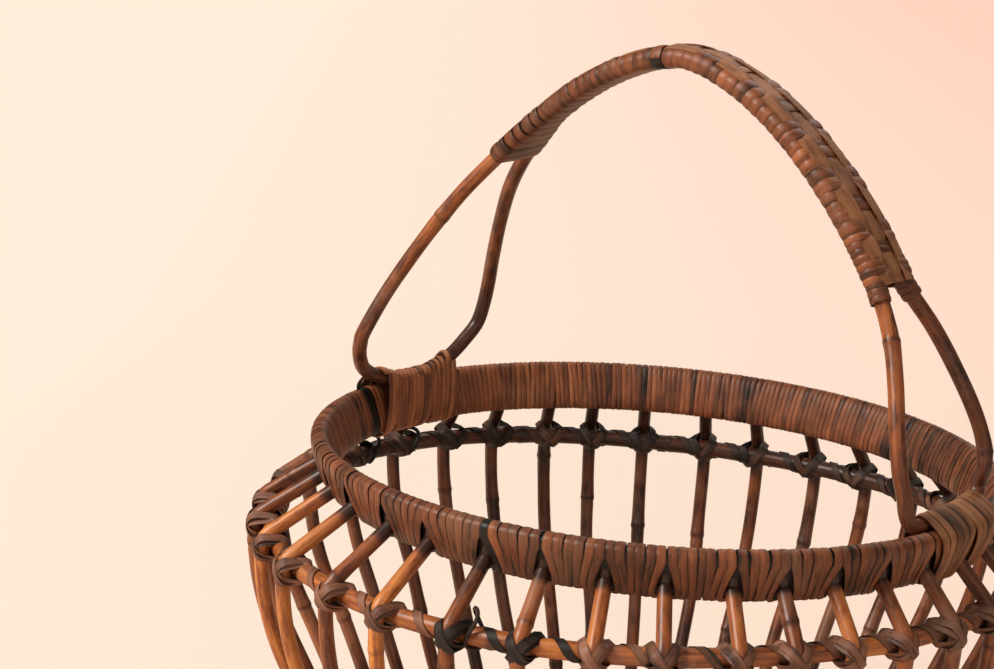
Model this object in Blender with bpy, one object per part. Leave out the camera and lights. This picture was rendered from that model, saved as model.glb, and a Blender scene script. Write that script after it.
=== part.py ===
"""Rattan sewing basket: bare stakes, a wrapped rim, a lashed shoulder hoop and a bound carrying handle.

Metres, +Z up. The origin is at the centre of the base board's underside.
The handle runs along X: its left foot is at -X and its right foot at +X.
"""

import math

import bmesh
import bpy
from mathutils import Vector

# Clearances and cane
fit_gap = 0.0003
cane_thickness = 0.0007
cut_overrun = 0.002

# Stakes: one entry for each, its shift from even spacing as a share of that spacing
stake_shift_shares = (
    -0.42, -0.43, -0.39, -0.33, -0.27, -0.25, -0.27, -0.30, -0.29, -0.24, -0.09, -0.06,
    0.14, 0.15, 0.0, 0.01, -0.06, -0.03, -0.01, -0.02, -0.03, -0.05, -0.10, -0.14,
    -0.13, 0.05, 0.06, 0.22, 0.26, 0.27, 0.20, 0.23, 0.02, -0.15, -0.29, -0.36,
)
first_stake_degrees = 7.5
stake_diameter = 0.0054
stake_tip = 0.0026
belly_bend_radius = 0.110
foot_lean_degrees = 25.0

# Rim: two rods, one above the other, with the stakes' upper ends between them
rim_height = 0.150
rim_radius = 0.125
rim_oval = 0.0041
rim_rod_diameter = 0.0062
rim_lean_degrees = 20.0

# Shoulder hoop, inside the stakes: a little oval and off the rim's axis
hoop_radius = 0.1358
hoop_shift = 0.0068
hoop_shift_degrees = 282.0
hoop_oval = 0.0056
hoop_oval_degrees = 32.0
hoop_drop = 0.0233
hoop_saddle = 0.0017
hoop_rod_diameter = 0.0068
lashing_width = 0.0024
lashing_degrees = 40.0

# Base board with a blind hole for each stake
board_thickness = 0.010
board_edge = 0.0045
board_rounding = 0.0025
hole_depth = 0.007

# Handle: one rod bent into a closed loop, with a stirrup at each foot
handle_height = 0.1577
handle_rod_diameter = 0.0058
handle_rod_parting = 0.0014
left_roundness = 1.725
right_roundness = 1.64
handle_lean = 0.0031
handle_wrap_stations = 18
bar_lean_degrees = 70.0
bar_end_lift = 0.0045
bar_steps = 4
weaver_width = 0.0022
weaver_spacing = 0.0028
weaver_count = 3
left_splay_share = 0.12
right_splay_share = 0.95

# Legs of the handle from the wrap's end down to the rim:
# shares of the handle's height, and shares of its half span for the spread
left_near_shares = ((0.700, 0.064), (0.600, 0.113), (0.485, 0.166), (0.343, 0.240), (0.230, 0.291), (0.168, 0.280))
left_far_shares = ((0.700, 0.077), (0.600, 0.119), (0.485, 0.182), (0.345, 0.250), (0.235, 0.269), (0.165, 0.245))
right_near_shares = ((0.555, 0.029), (0.460, 0.051), (0.372, 0.095), (0.274, 0.145), (0.187, 0.169), (0.138, 0.162))
right_far_shares = ((0.555, 0.112), (0.460, 0.170), (0.371, 0.214), (0.273, 0.259), (0.195, 0.280), (0.142, 0.266))

# Bindings of the handle's feet: turns on each side of the middle stake
left_binding_turns = (4, 6)
right_binding_turns = (5, 5)
left_turns_per_gap = 6
right_turns_per_gap = 5
left_cane_width = 0.0022
right_cane_width = 0.0024
squeeze_end_share = 0.33
squeeze_ease_share = 0.22
binding_loop_points = 14
left_middle_stake = 17
right_middle_stake = 0

# Colours and roughness
stake_colour = (0.33, 0.115, 0.045)
rod_colour = (0.42, 0.13, 0.045)
wrap_colour = (0.20, 0.085, 0.045)
binding_colour = (0.15, 0.065, 0.035)
board_colour = (0.40, 0.23, 0.12)
rattan_roughness = 0.42
board_roughness = 0.6

# Facets and angles
rod_sides = 6
lashing_corners = 6
bend_steps = 2
belly_steps = 3
half_turn = math.pi
full_turn = 2 * math.pi
quarter_turn = math.pi / 2
cap_angle = math.radians(60)
sharp_angle = math.radians(50)
small_turn = 0.001
millimetres = 1000

# Values worked out from the sizes above
stake_count = len(stake_shift_shares)
stake_radius = stake_diameter / 2
rim_rod_radius = rim_rod_diameter / 2
hoop_rod_radius = hoop_rod_diameter / 2
handle_rod_radius = handle_rod_diameter / 2
rod_spacing = rim_rod_diameter + stake_diameter + 2 * fit_gap
sleeve_inner = rim_rod_radius + fit_gap
sleeve_outer = sleeve_inner + cane_thickness
rim_lean = math.radians(rim_lean_degrees)
foot_lean = math.radians(foot_lean_degrees)
rod_bend = rim_rod_radius + stake_radius + fit_gap
rod_bend_setoff = cane_thickness + 3 * fit_gap
hoop_bend = hoop_rod_radius + stake_radius + fit_gap
hoop_shift_azimuth = math.radians(hoop_shift_degrees)
hoop_oval_azimuth = math.radians(hoop_oval_degrees)
bar_reach = sleeve_outer + fit_gap + handle_rod_radius
bar_lean = math.radians(bar_lean_degrees)
bar_across = -bar_reach * math.sin(bar_lean)
bar_along = rod_spacing / 2 + bar_reach * math.cos(bar_lean)
handle_span = rim_radius + rim_oval + bar_across * math.cos(rim_lean) + bar_along * math.sin(rim_lean)
top_spread = (handle_rod_diameter + handle_rod_parting) / 2


def clear_scene():
    """Removes whatever the open file holds."""
    for item in list(bpy.data.objects):
        bpy.data.objects.remove(item, do_unlink=True)


def material(name, colour, roughness):
    """A plain Principled material."""
    made = bpy.data.materials.new(name)
    made.use_nodes = True
    shader = made.node_tree.nodes["Principled BSDF"]
    shader.inputs["Base Color"].default_value = (*colour, 1.0)
    shader.inputs["Roughness"].default_value = roughness
    shader.inputs["Metallic"].default_value = 0.0
    return made


def add_object(name, shape, finish):
    """Turns a bmesh into a named, smooth-shaded object."""
    bmesh.ops.recalc_face_normals(shape, faces=shape.faces)
    mesh = bpy.data.meshes.new(name)
    shape.to_mesh(mesh)
    shape.free()
    mesh.shade_smooth()
    mesh.set_sharp_from_angle(angle=sharp_angle)
    mesh.materials.append(finish)
    made = bpy.data.objects.new(name, mesh)
    bpy.context.scene.collection.objects.link(made)
    return made


def wall_between(shape, first, second):
    """Quads between two equal loops of vertices."""
    count = len(first)
    for i in range(count):
        j = (i + 1) % count
        shape.faces.new((first[i], first[j], second[j], second[i]))


def skin(shape, rings, closed=False):
    """Joins a row of equal rings of points with quads, capped at both ends unless the row is closed."""
    loops = [[shape.verts.new(point) for point in ring] for ring in rings]
    for first, second in zip(loops, loops[1:]):
        wall_between(shape, first, second)
    if closed:
        wall_between(shape, loops[-1], loops[0])
    else:
        shape.faces.new(loops[0])
        shape.faces.new(loops[-1])


def hollow_skin(shape, outer_rings, inner_rings):
    """Joins an outer and an inner row of rings into an open-ended sleeve."""
    rows = []
    for rings in (outer_rings, inner_rings):
        loops = [[shape.verts.new(point) for point in ring] for ring in rings]
        for first, second in zip(loops, loops[1:]):
            wall_between(shape, first, second)
        rows.append(loops)
    outer, inner = rows
    wall_between(shape, outer[0], inner[0])
    wall_between(shape, outer[-1], inner[-1])


def round_ring(centre, side, up, radius, sides=rod_sides):
    """A ring of points round a centre, the first one towards side."""
    ring = []
    for i in range(sides):
        angle = full_turn * i / sides
        ring.append(centre + radius * (math.cos(angle) * side + math.sin(angle) * up))
    return ring


def stake_azimuth(index):
    """The direction of a stake from the axis, in radians; whole turns are added past the last one."""
    turns, number = divmod(index, stake_count)
    pitch = full_turn / stake_count
    return math.radians(first_stake_degrees) + pitch * (number + stake_shift_shares[number]) + turns * full_turn


def stake_before(azimuth):
    """The index of the stake just before an azimuth."""
    index = math.floor(azimuth * stake_count / full_turn) - 2
    while stake_azimuth(index + 1) <= azimuth:
        index += 1
    return index


def out_from_axis(azimuth):
    """The horizontal unit vector that points away from the axis."""
    return Vector((math.cos(azimuth), math.sin(azimuth), 0.0))


def place(azimuth, radius, height):
    """A point from its direction, its distance from the axis and its height."""
    return out_from_axis(azimuth) * radius + Vector((0.0, 0.0, height))


def rim_radius_at(azimuth):
    """The rim is a little longer along the handle than across it."""
    return rim_radius + rim_oval * math.cos(2 * azimuth)


def hoop_radius_at(azimuth):
    """The hoop's distance from the rim's axis."""
    shift = hoop_shift * math.cos(azimuth - hoop_shift_azimuth)
    oval = hoop_oval * math.cos(2 * (azimuth - hoop_oval_azimuth))
    return hoop_radius + shift + oval


def hoop_slant_at(azimuth):
    """The angle by which the hoop's run turns outwards from square to the stake's plane."""
    shift = hoop_shift * math.sin(azimuth - hoop_shift_azimuth)
    oval = 2 * hoop_oval * math.sin(2 * (azimuth - hoop_oval_azimuth))
    return -math.atan((shift + oval) / hoop_radius_at(azimuth))


def hoop_height_at(azimuth):
    """The hoop rises a little towards the handle's feet."""
    return rim_height - hoop_drop + hoop_saddle * math.cos(2 * azimuth)


def hoop_centre(azimuth):
    """The centre of the hoop's rod at an azimuth."""
    return place(azimuth, hoop_radius_at(azimuth), hoop_height_at(azimuth))


def rim_station(azimuth, across, along):
    """A point of the rim's section: across it, outwards, and along it, from the lower rod to the upper."""
    radius = rim_radius_at(azimuth) + across * math.cos(rim_lean) + along * math.sin(rim_lean)
    height = rim_height - across * math.sin(rim_lean) + along * math.cos(rim_lean)
    return place(azimuth, radius, height)


def rim_point(azimuth, across, along):
    """The same, on the straight run between the two stakes that the azimuth lies between."""
    index = stake_before(azimuth)
    start = stake_azimuth(index)
    end = stake_azimuth(index + 1)
    share = (azimuth - start) / (end - start)
    return rim_station(start, across, along).lerp(rim_station(end, across, along), share)


def arc(centre, radius, start, end, steps):
    """Points and outward directions along an arc of the section plane, on the arc or just outside it."""
    spread = radius / math.cos((end - start) / steps / 2)
    points = []
    for step in range(steps + 1):
        angle = start + (end - start) * step / steps
        reach = radius if step in (0, steps) else spread
        outward = Vector((math.cos(angle), math.sin(angle)))
        points.append((centre + outward * reach, outward))
    return points


def hoop_in_section(azimuth):
    """The hoop's centre as distance from the axis and height."""
    return Vector((hoop_radius_at(azimuth), hoop_height_at(azimuth)))


def rim_section_axes():
    """The rim section's directions, across and along it, as distance from the axis and height."""
    across = Vector((math.cos(rim_lean), -math.sin(rim_lean)))
    return across, Vector((-across.y, across.x))


def rod_bend_centre(azimuth):
    """What a stake bends round as it leaves the rim: just outside the lower rod's own centre."""
    across, along = rim_section_axes()
    rim = Vector((rim_radius_at(azimuth), rim_height))
    return rim + across * rod_bend_setoff - along * rod_spacing / 2


def belly_centre(azimuth):
    """The centre of a stake's bend below the hoop."""
    return hoop_in_section(azimuth) + Vector((hoop_bend - belly_bend_radius, 0.0))


def foot_point(azimuth, height):
    """Where a stake's straight foot is at a height, as distance from the axis and height."""
    bend_end = belly_centre(azimuth) + belly_bend_radius * Vector((math.cos(foot_lean), -math.sin(foot_lean)))
    return Vector((bend_end.x - (bend_end.y - height) * math.tan(foot_lean), height))


def stake_profile(azimuth):
    """The stake's centre line: out of the rim, round the hoop and down into the board."""
    rod = rod_bend_centre(azimuth)
    hoop = hoop_in_section(azimuth)
    step = hoop - rod
    slope = math.atan2(step.y, step.x) + math.asin((hoop_bend - rod_bend) / step.length)
    points = arc(rod, rod_bend, quarter_turn - rim_lean, quarter_turn + slope, bend_steps)
    first_point, first_outward = points[0]
    inwards = Vector((-first_outward.y, first_outward.x))
    points.insert(0, (first_point + inwards * (stake_tip + rod_bend_setoff), first_outward))
    points += arc(hoop, hoop_bend, quarter_turn + slope, 0.0, bend_steps)
    points += arc(belly_centre(azimuth), belly_bend_radius, 0.0, -foot_lean, belly_steps)[1:]
    end_height = board_thickness - hole_depth + fit_gap
    points.append((foot_point(azimuth, end_height), points[-1][1]))
    return points


def stake_rings(azimuth, profile, radius):
    """Rings round a stake's centre line, with a corner towards and away from the axis."""
    outward = out_from_axis(azimuth)
    sideways = Vector((-outward.y, outward.x, 0.0))
    rings = []
    for point, normal in profile:
        up = outward * normal.x + Vector((0.0, 0.0, normal.y))
        rings.append(round_ring(place(azimuth, point.x, point.y), up, sideways, radius))
    return rings


def make_stakes(finish):
    """The stakes, each a bent rattan rod."""
    for index in range(stake_count):
        azimuth = stake_azimuth(index)
        shape = bmesh.new()
        skin(shape, stake_rings(azimuth, stake_profile(azimuth), stake_radius))
        add_object(f"stake_{index + 1:02d}", shape, finish)


def make_rim_rod(name, side, finish):
    """One of the rim's two rods, straight from stake to stake."""
    rings = []
    for index in range(stake_count):
        azimuth = stake_azimuth(index)
        centre = rim_station(azimuth, 0.0, side * rod_spacing / 2)
        across = (rim_station(azimuth, rim_rod_radius, 0.0) - rim_station(azimuth, 0.0, 0.0)).normalized()
        along = (rim_station(azimuth, 0.0, rim_rod_radius) - rim_station(azimuth, 0.0, 0.0)).normalized()
        rings.append(round_ring(centre, across, along, rim_rod_radius))
    shape = bmesh.new()
    skin(shape, rings, closed=True)
    add_object(name, shape, finish)


def sleeve_section(radius, spacing):
    """The corners of a sleeve round two rods, with a six-cornered cap round each."""
    straight = spacing / 2
    corner = radius * math.cos(cap_angle)
    crown = straight + radius * math.sin(cap_angle)
    return [
        (radius, straight), (corner, crown), (-corner, crown), (-radius, straight),
        (-radius, -straight), (-corner, -crown), (corner, -crown), (radius, -straight),
    ]


def height_at(line, wall):
    """The height at which a line of points, each across and along, first passes a wall."""
    for first, second in zip(line, line[1:]):
        if first[0] < wall <= second[0]:
            return first[1] + (second[1] - first[1]) * (wall - first[0]) / (second[0] - first[0])
    raise ValueError("the line does not pass the wall")


def stake_notch(azimuth):
    """The lower and upper edge of the hole that a stake needs in the wrap, along the rim's section."""
    across, along = rim_section_axes()
    rim = Vector((rim_radius_at(azimuth), rim_height))
    edges = []
    for side in (-1, 1):
        line = []
        for point, outward in stake_profile(azimuth):
            step = point + outward * side * (stake_radius + fit_gap) - rim
            line.append((step.dot(across), step.dot(along)))
        edges.append([height_at(line, wall) for wall in (sleeve_inner, sleeve_outer)])
    return min(edges[0]), max(edges[1])


def make_rim_wrap(finish):
    """The cane wrap as one sleeve round both rods, with a hole where each stake comes out."""
    shape = bmesh.new()
    walls = []
    for radius in (sleeve_outer, sleeve_inner):
        section = sleeve_section(radius, rod_spacing)
        stations = [
            [shape.verts.new(rim_station(stake_azimuth(index), *point)) for point in section]
            for index in range(stake_count)
        ]
        starts = []
        ends = []
        for index in range(stake_count):
            for notches, neighbour in ((starts, index + 1), (ends, index - 1)):
                corners = []
                for along in stake_notch(stake_azimuth(index)):
                    here = rim_station(stake_azimuth(index), radius, along)
                    there = rim_station(stake_azimuth(neighbour), radius, along)
                    step = (there - here).normalized() * (stake_radius + fit_gap)
                    corners.append(shape.verts.new(here + step))
                notches.append(corners)
        for index in range(stake_count):
            following = (index + 1) % stake_count
            wall_between(shape, stations[index] + starts[index], stations[following] + ends[following])
        walls.append((stations, starts, ends))
    outer, inner = walls
    for index in range(stake_count):
        holes = []
        for stations, starts, ends in (outer, inner):
            top, bottom = stations[index][0], stations[index][-1]
            holes.append([top, starts[index][1], starts[index][0], bottom, ends[index][0], ends[index][1]])
        wall_between(shape, *holes)
    add_object("rim_wrap", shape, finish)


def make_hoop(finish):
    """The shoulder hoop, which the stakes bend round."""
    rings = []
    for index in range(stake_count):
        azimuth = stake_azimuth(index)
        centre = hoop_centre(azimuth)
        rings.append(round_ring(centre, out_from_axis(azimuth), Vector((0.0, 0.0, 1.0)), hoop_rod_radius))
    shape = bmesh.new()
    skin(shape, rings, closed=True)
    add_object("shoulder_hoop", shape, finish)


def lashing_offsets(angle, normals, hoop_slant):
    """How far a tilted ring's sides lie from the hoop's centre, to go round hoop and stake."""
    half_width = lashing_width / 2
    hoop_reach = hoop_rod_radius / math.sin(angle) + half_width / math.tan(angle)
    hoop_curve = hoop_reach * math.tan(full_turn / stake_count)
    turn = math.atan(math.tan(hoop_slant) / math.cos(angle))
    offsets = []
    for normal in normals:
        outwards, sideways = math.cos(normal + turn), abs(math.sin(normal + turn))
        hoop = math.hypot(hoop_rod_radius * outwards, hoop_rod_radius * sideways / math.sin(angle))
        hoop += sideways * half_width / math.tan(angle) + max(0.0, -outwards) * hoop_curve
        outwards, sideways = math.cos(normal), abs(math.sin(normal))
        stake = hoop_bend * outwards
        stake += math.hypot(stake_radius * outwards, stake_radius * sideways / math.cos(angle))
        stake += sideways * half_width * math.tan(angle)
        offsets.append(max(hoop, stake) + fit_gap)
    return offsets


def polygon_corners(offsets, normals):
    """The corners between each side of a polygon and the next, from the sides' offsets and normals."""
    corners = []
    for i, normal in enumerate(normals):
        following = (i + 1) % len(normals)
        turn = math.sin(normals[following] - normal)
        first, second = offsets[i], offsets[following]
        x = (first * math.sin(normals[following]) - second * math.sin(normal)) / turn
        y = (second * math.cos(normal) - first * math.cos(normals[following])) / turn
        corners.append((x, y))
    return corners


def lashing_ring(azimuth, lean, offsets, normals):
    """The strip's four corners at each corner of one tilted turn round hoop and stake, from the back round."""
    outward = out_from_axis(azimuth)
    sideways = Vector((-outward.y, outward.x, 0.0))
    centre = hoop_centre(azimuth)
    along = sideways * math.cos(lean) + Vector((0.0, 0.0, math.sin(lean)))
    across = outward.cross(along) * lashing_width / 2
    inner = polygon_corners(offsets, normals)
    outer = polygon_corners([offset + cane_thickness for offset in offsets], normals)
    rings = []
    for low, high in zip(inner, outer):
        inner_point = centre + outward * low[0] + along * low[1]
        outer_point = centre + outward * high[0] + along * high[1]
        rings.append([inner_point - across, inner_point + across, outer_point + across, outer_point - across])
    back = len(rings) // 2
    return rings[back:] + rings[:back]


def make_lashings(finish):
    """One cane that crosses over each stake twice, round the hoop, and runs on behind it to the next."""
    normals = [full_turn * i / lashing_corners for i in range(lashing_corners)]
    angle = math.radians(lashing_degrees)
    rings = []
    for index in range(stake_count):
        azimuth = stake_azimuth(index)
        rising = lashing_offsets(angle, normals, hoop_slant_at(azimuth))
        falling = [rising[0] + cane_thickness + fit_gap] + rising[1:]
        rings += lashing_ring(azimuth, angle, rising, normals)
        rings += lashing_ring(azimuth, -angle, falling, normals)
    shape = bmesh.new()
    skin(shape, rings, closed=True)
    add_object("hoop_lashing", shape, finish)


def arch_point(angle):
    """A point of the handle's arch in the XZ plane: angle 0 is the right foot, half a turn the left."""
    power = 2 / (right_roundness if angle < quarter_turn else left_roundness)
    across = math.copysign(abs(math.cos(angle)) ** power, math.cos(angle))
    share = math.sin(angle) ** power
    return Vector((handle_span * across + handle_lean * share ** 3, 0.0, rim_height + handle_height * share))


def arch_angle(share, left):
    """The arch's angle at a share of its height."""
    angle = math.asin(share ** ((left_roundness if left else right_roundness) / 2))
    return half_turn - angle if left else angle


def smooth(share):
    """Eases from 0 to 1."""
    share = min(max(share, 0.0), 1.0)
    return share * share * (3 - 2 * share)


def wrap_stations():
    """Places along the wrapped top, left to right: the arch's point and each rod's distance to the side."""
    start = arch_angle(left_near_shares[0][0], True)
    end = arch_angle(right_near_shares[0][0], False)
    stations = []
    for step in range(handle_wrap_stations + 1):
        share = step / handle_wrap_stations
        left = smooth((left_splay_share - share) / left_splay_share)
        right = smooth((share - 1 + right_splay_share) / right_splay_share)
        near = top_spread + left * (left_near_shares[0][1] * handle_span - top_spread)
        near += right * (right_near_shares[0][1] * handle_span - top_spread)
        far = top_spread + left * (left_far_shares[0][1] * handle_span - top_spread)
        far += right * (right_far_shares[0][1] * handle_span - top_spread)
        stations.append((arch_point(start + (end - start) * share), near, far))
    return stations


def leg_points(shares, left, side):
    """The leg's points below the wrap, from the top down."""
    points = []
    for height_share, spread_share in shares[1:]:
        point = arch_point(arch_angle(height_share, left))
        point.y = side * spread_share * handle_span
        points.append(point)
    return points


def binding_azimuths(middle, turns, per_gap):
    """The azimuth of each turn's outer side, spread evenly between the stakes."""
    before, after = turns
    azimuths = []
    for start, end, count in ((middle, middle - 1, before), (middle, middle + 1, after)):
        first = stake_azimuth(start)
        gap = stake_azimuth(end) - first
        run = [first + gap * (turn + 0.5) / per_gap for turn in range(count)]
        azimuths += run[::-1] if end < start else run
    return azimuths


def bar_points(azimuths, to_far):
    """The bar on the inner side of the rim's wrap, under its binding, and its rising ends just outside it."""
    step = (azimuths[-1] - azimuths[0]) / (len(azimuths) - 1)
    first = azimuths[0] - step
    run = azimuths[-1] + step - first
    points = [rim_point(first + run * i / bar_steps, bar_across, bar_along) for i in range(bar_steps + 1)]
    lift = Vector((0.0, 0.0, bar_end_lift))
    for azimuth, end in ((first - step, 0), (first + run + step, len(points) + 1)):
        points.insert(end, rim_point(azimuth, bar_across, bar_along) + lift)
    return points if (points[-1].y > points[0].y) == to_far else points[::-1]


def curve_through(points, steps):
    """A smooth curve through all but the first and last point, which only steer it."""
    result = []
    for before, start, end, after in zip(points, points[1:], points[2:], points[3:]):
        for i in range(steps):
            t = i / steps
            result.append(
                0.5 * (2 * start + (end - before) * t
                       + (2 * before - 5 * start + 4 * end - after) * t ** 2
                       + (3 * start - before - 3 * end + after) * t ** 3)
            )
    result.append(points[-2])
    return result


def handle_route():
    """The handle rod's closed centre line: over the near side, round the left foot, back and round the right."""
    stations = wrap_stations()
    near = [point - Vector((0.0, spread, 0.0)) for point, spread, _ in stations]
    far = [point + Vector((0.0, spread, 0.0)) for point, _, spread in stations]
    left_turns = binding_azimuths(left_middle_stake, left_binding_turns, left_turns_per_gap)
    right_turns = binding_azimuths(right_middle_stake, right_binding_turns, right_turns_per_gap)
    left_foot = leg_points(left_near_shares, True, -1) + bar_points(left_turns, True)
    left_foot += leg_points(left_far_shares, True, 1)[::-1]
    right_foot = leg_points(right_far_shares, False, 1) + bar_points(right_turns, False)
    right_foot += leg_points(right_near_shares, False, -1)[::-1]
    left_loop = curve_through([near[1], near[0]] + left_foot + [far[0], far[1]], 2)
    right_loop = curve_through([far[-2], far[-1]] + right_foot + [near[-1], near[-2]], 2)
    return near[::-1][1:] + left_loop[1:] + far[1:] + right_loop[1:]


def frame_at(before, point, after):
    """Side and up vectors across a run of the handle; up points away from the arch's centre."""
    direction = (after - before).normalized()
    up = Vector((point.x, 0.0, point.z - rim_height))
    up = (up - up.dot(direction) * direction).normalized()
    return direction.cross(up), up


def make_handle_rod(finish):
    """The handle's rod as one closed loop."""
    route = handle_route()
    rings = []
    for i, point in enumerate(route):
        side, up = frame_at(route[i - 1], point, route[(i + 1) % len(route)])
        rings.append(round_ring(point, side, up, handle_rod_radius))
    shape = bmesh.new()
    skin(shape, rings, closed=True)
    add_object("handle_rod", shape, finish)


def wrap_frames():
    """The wrap's stations with the arch's direction away from its centre at each."""
    stations = wrap_stations()
    frames = []
    for i, (point, near, far) in enumerate(stations):
        before = stations[max(i - 1, 0)][0]
        after = stations[min(i + 1, len(stations) - 1)][0]
        up = frame_at(before, point, after)[1]
        frames.append((point, up, near, far))
    return frames


def make_handle_wrap(finish):
    """The cane wrap round both rods of the handle, which widens where they part."""
    rows = []
    for radius in (handle_rod_radius + fit_gap + cane_thickness, handle_rod_radius + fit_gap):
        corner = radius * math.cos(cap_angle)
        crown = radius * math.sin(cap_angle)
        rings = []
        for point, up, near, far in wrap_frames():
            section = (
                (far + radius, 0.0), (far + corner, crown), (-near - corner, crown),
                (-near - radius, 0.0), (-near - corner, -crown), (far + corner, -crown),
            )
            rings.append([point + Vector((0.0, y, 0.0)) + up * height for y, height in section])
        rows.append(rings)
    shape = bmesh.new()
    hollow_skin(shape, *rows)
    add_object("handle_wrap", shape, finish)


def make_handle_weavers(finish):
    """Flat canes laid along the top of the handle's wrap."""
    crown = (handle_rod_radius + fit_gap + cane_thickness) * math.sin(cap_angle) + fit_gap
    for index in range(weaver_count):
        middle = (index - (weaver_count - 1) / 2) * weaver_spacing
        rings = []
        for point, up, near, far in wrap_frames():
            centre = point + Vector((0.0, middle + (far - near) / 2, 0.0)) + up * crown
            side = Vector((0.0, weaver_width / 2, 0.0))
            top = up * cane_thickness
            rings.append([centre - side, centre + side, centre + side + top, centre - side + top])
        shape = bmesh.new()
        skin(shape, rings)
        add_object(f"handle_weaver_{index + 1}", shape, finish)


def binding_outline():
    """The corners of a turn round the rim and the handle's bar, inner and outer face."""
    normals = [half_turn + full_turn * i / binding_loop_points for i in range(binding_loop_points)]
    offsets = []
    for normal in normals:
        x, y = math.cos(normal), math.sin(normal)
        reach = max(
            sleeve_outer + y * rod_spacing / 2,
            sleeve_outer - y * rod_spacing / 2,
            handle_rod_radius + x * bar_across + y * bar_along,
        )
        offsets.append(reach + fit_gap)
    inner = polygon_corners(offsets, normals)
    outer = polygon_corners([offset + cane_thickness for offset in offsets], normals)
    return list(zip(inner, outer))


def squeezed(azimuth, clearance, edge_share):
    """Moves a turn's azimuth away from the stakes beside it."""
    index = stake_before(azimuth)
    middle = (stake_azimuth(index) + stake_azimuth(index + 1)) / 2
    half_gap = (stake_azimuth(index + 1) - stake_azimuth(index)) / 2
    most = half_gap - clearance
    return middle + (azimuth - middle) * min(most / (half_gap * edge_share), 1.0)


def make_binding(name, middle, turns, per_gap, width, finish):
    """A foot's binding: one flat cane wound round the rim and the handle's bar, past the stakes."""
    azimuths = binding_azimuths(middle, turns, per_gap)
    outline = binding_outline()
    count = len(outline)
    clearance = (stake_radius + fit_gap + width / 2 + fit_gap / 2) / (rim_radius - rim_oval)
    edge_share = 1 - 1 / per_gap
    loops = []
    for i, azimuth in enumerate(azimuths):
        before = azimuths[i - 1] if i else 2 * azimuth - azimuths[1]
        after = azimuths[i + 1] if i + 1 < len(azimuths) else 2 * azimuth - azimuths[i - 1]
        loop = []
        for j, (inner, outer) in enumerate(outline):
            share = (j + 0.5) / count
            neighbour = before if share < 0.5 else after
            drift = azimuth + (neighbour - azimuth) * abs(share - 0.5)
            weight = smooth((squeeze_end_share - abs(share - 0.5)) / squeeze_ease_share)
            at = drift + weight * (squeezed(azimuth, clearance, edge_share) - azimuth)
            inner_point = rim_point(at, *inner)
            outer_point = rim_point(at, *outer)
            ahead = (rim_point(at + small_turn, 0.0, 0.0) - rim_point(at - small_turn, 0.0, 0.0)).normalized()
            side = ahead * width / 2
            loop.append([inner_point - side, inner_point + side, outer_point + side, outer_point - side])
        loops.append(loop)
    gap = min(
        (first[j][a] - second[j][b]).length
        for first, second in zip(loops, loops[1:])
        for j in range(count)
        for a in range(4)
        for b in range(4)
    )
    print(f"{name}: least gap between its turns {gap * millimetres:.2f} mm")
    shape = bmesh.new()
    skin(shape, [ring for loop in loops for ring in loop])
    add_object(name, shape, finish)


def make_board(finish):
    """The base board, with a blind hole for each stake's foot at an even distance from its edge."""
    azimuths = [stake_azimuth(index) for index in range(stake_count)]
    margin = stake_radius / math.cos(foot_lean) + board_edge
    profile = (
        (margin - board_rounding, 0.0),
        (margin, board_rounding),
        (margin, board_thickness - board_rounding),
        (margin - board_rounding, board_thickness),
    )
    shape = bmesh.new()
    rings = []
    for beyond, height in profile:
        rings.append([
            place(azimuth, foot_point(azimuth, board_thickness).x + beyond, height) for azimuth in azimuths
        ])
    skin(shape, rings)
    board = add_object("base_board", shape, finish)

    holes = bmesh.new()
    hole_radius = stake_radius + fit_gap / math.cos(half_turn / rod_sides)
    for azimuth in azimuths:
        run = [foot_point(azimuth, board_thickness + cut_overrun), foot_point(azimuth, board_thickness - hole_depth)]
        normal = Vector((math.cos(foot_lean), -math.sin(foot_lean)))
        skin(holes, stake_rings(azimuth, [(point, normal) for point in run], hole_radius))
    cutter = add_object("board_holes", holes, finish)
    cutter.hide_render = True
    cutter.display_type = "WIRE"
    cut = board.modifiers.new("stake_holes", "BOOLEAN")
    cut.operation = "DIFFERENCE"
    cut.solver = "EXACT"
    cut.object = cutter


def build():
    """Makes every piece of the basket."""
    clear_scene()
    stakes = material("stake_rattan", stake_colour, rattan_roughness)
    rods = material("rod_rattan", rod_colour, rattan_roughness)
    wraps = material("wrap_cane", wrap_colour, rattan_roughness)
    bindings = material("binding_cane", binding_colour, rattan_roughness)
    wood = material("board_wood", board_colour, board_roughness)
    make_board(wood)
    make_stakes(stakes)
    make_hoop(rods)
    make_lashings(wraps)
    make_rim_rod("rim_upper_rod", 1, rods)
    make_rim_rod("rim_lower_rod", -1, rods)
    make_rim_wrap(wraps)
    make_handle_rod(rods)
    make_handle_wrap(wraps)
    make_handle_weavers(wraps)
    make_binding(
        "binding_left", left_middle_stake, left_binding_turns, left_turns_per_gap, left_cane_width, bindings
    )
    make_binding(
        "binding_right", right_middle_stake, right_binding_turns, right_turns_per_gap, right_cane_width, bindings
    )


build()
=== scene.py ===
import math
import random

import bpy
import numpy as np
from mathutils import Matrix, Vector


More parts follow.
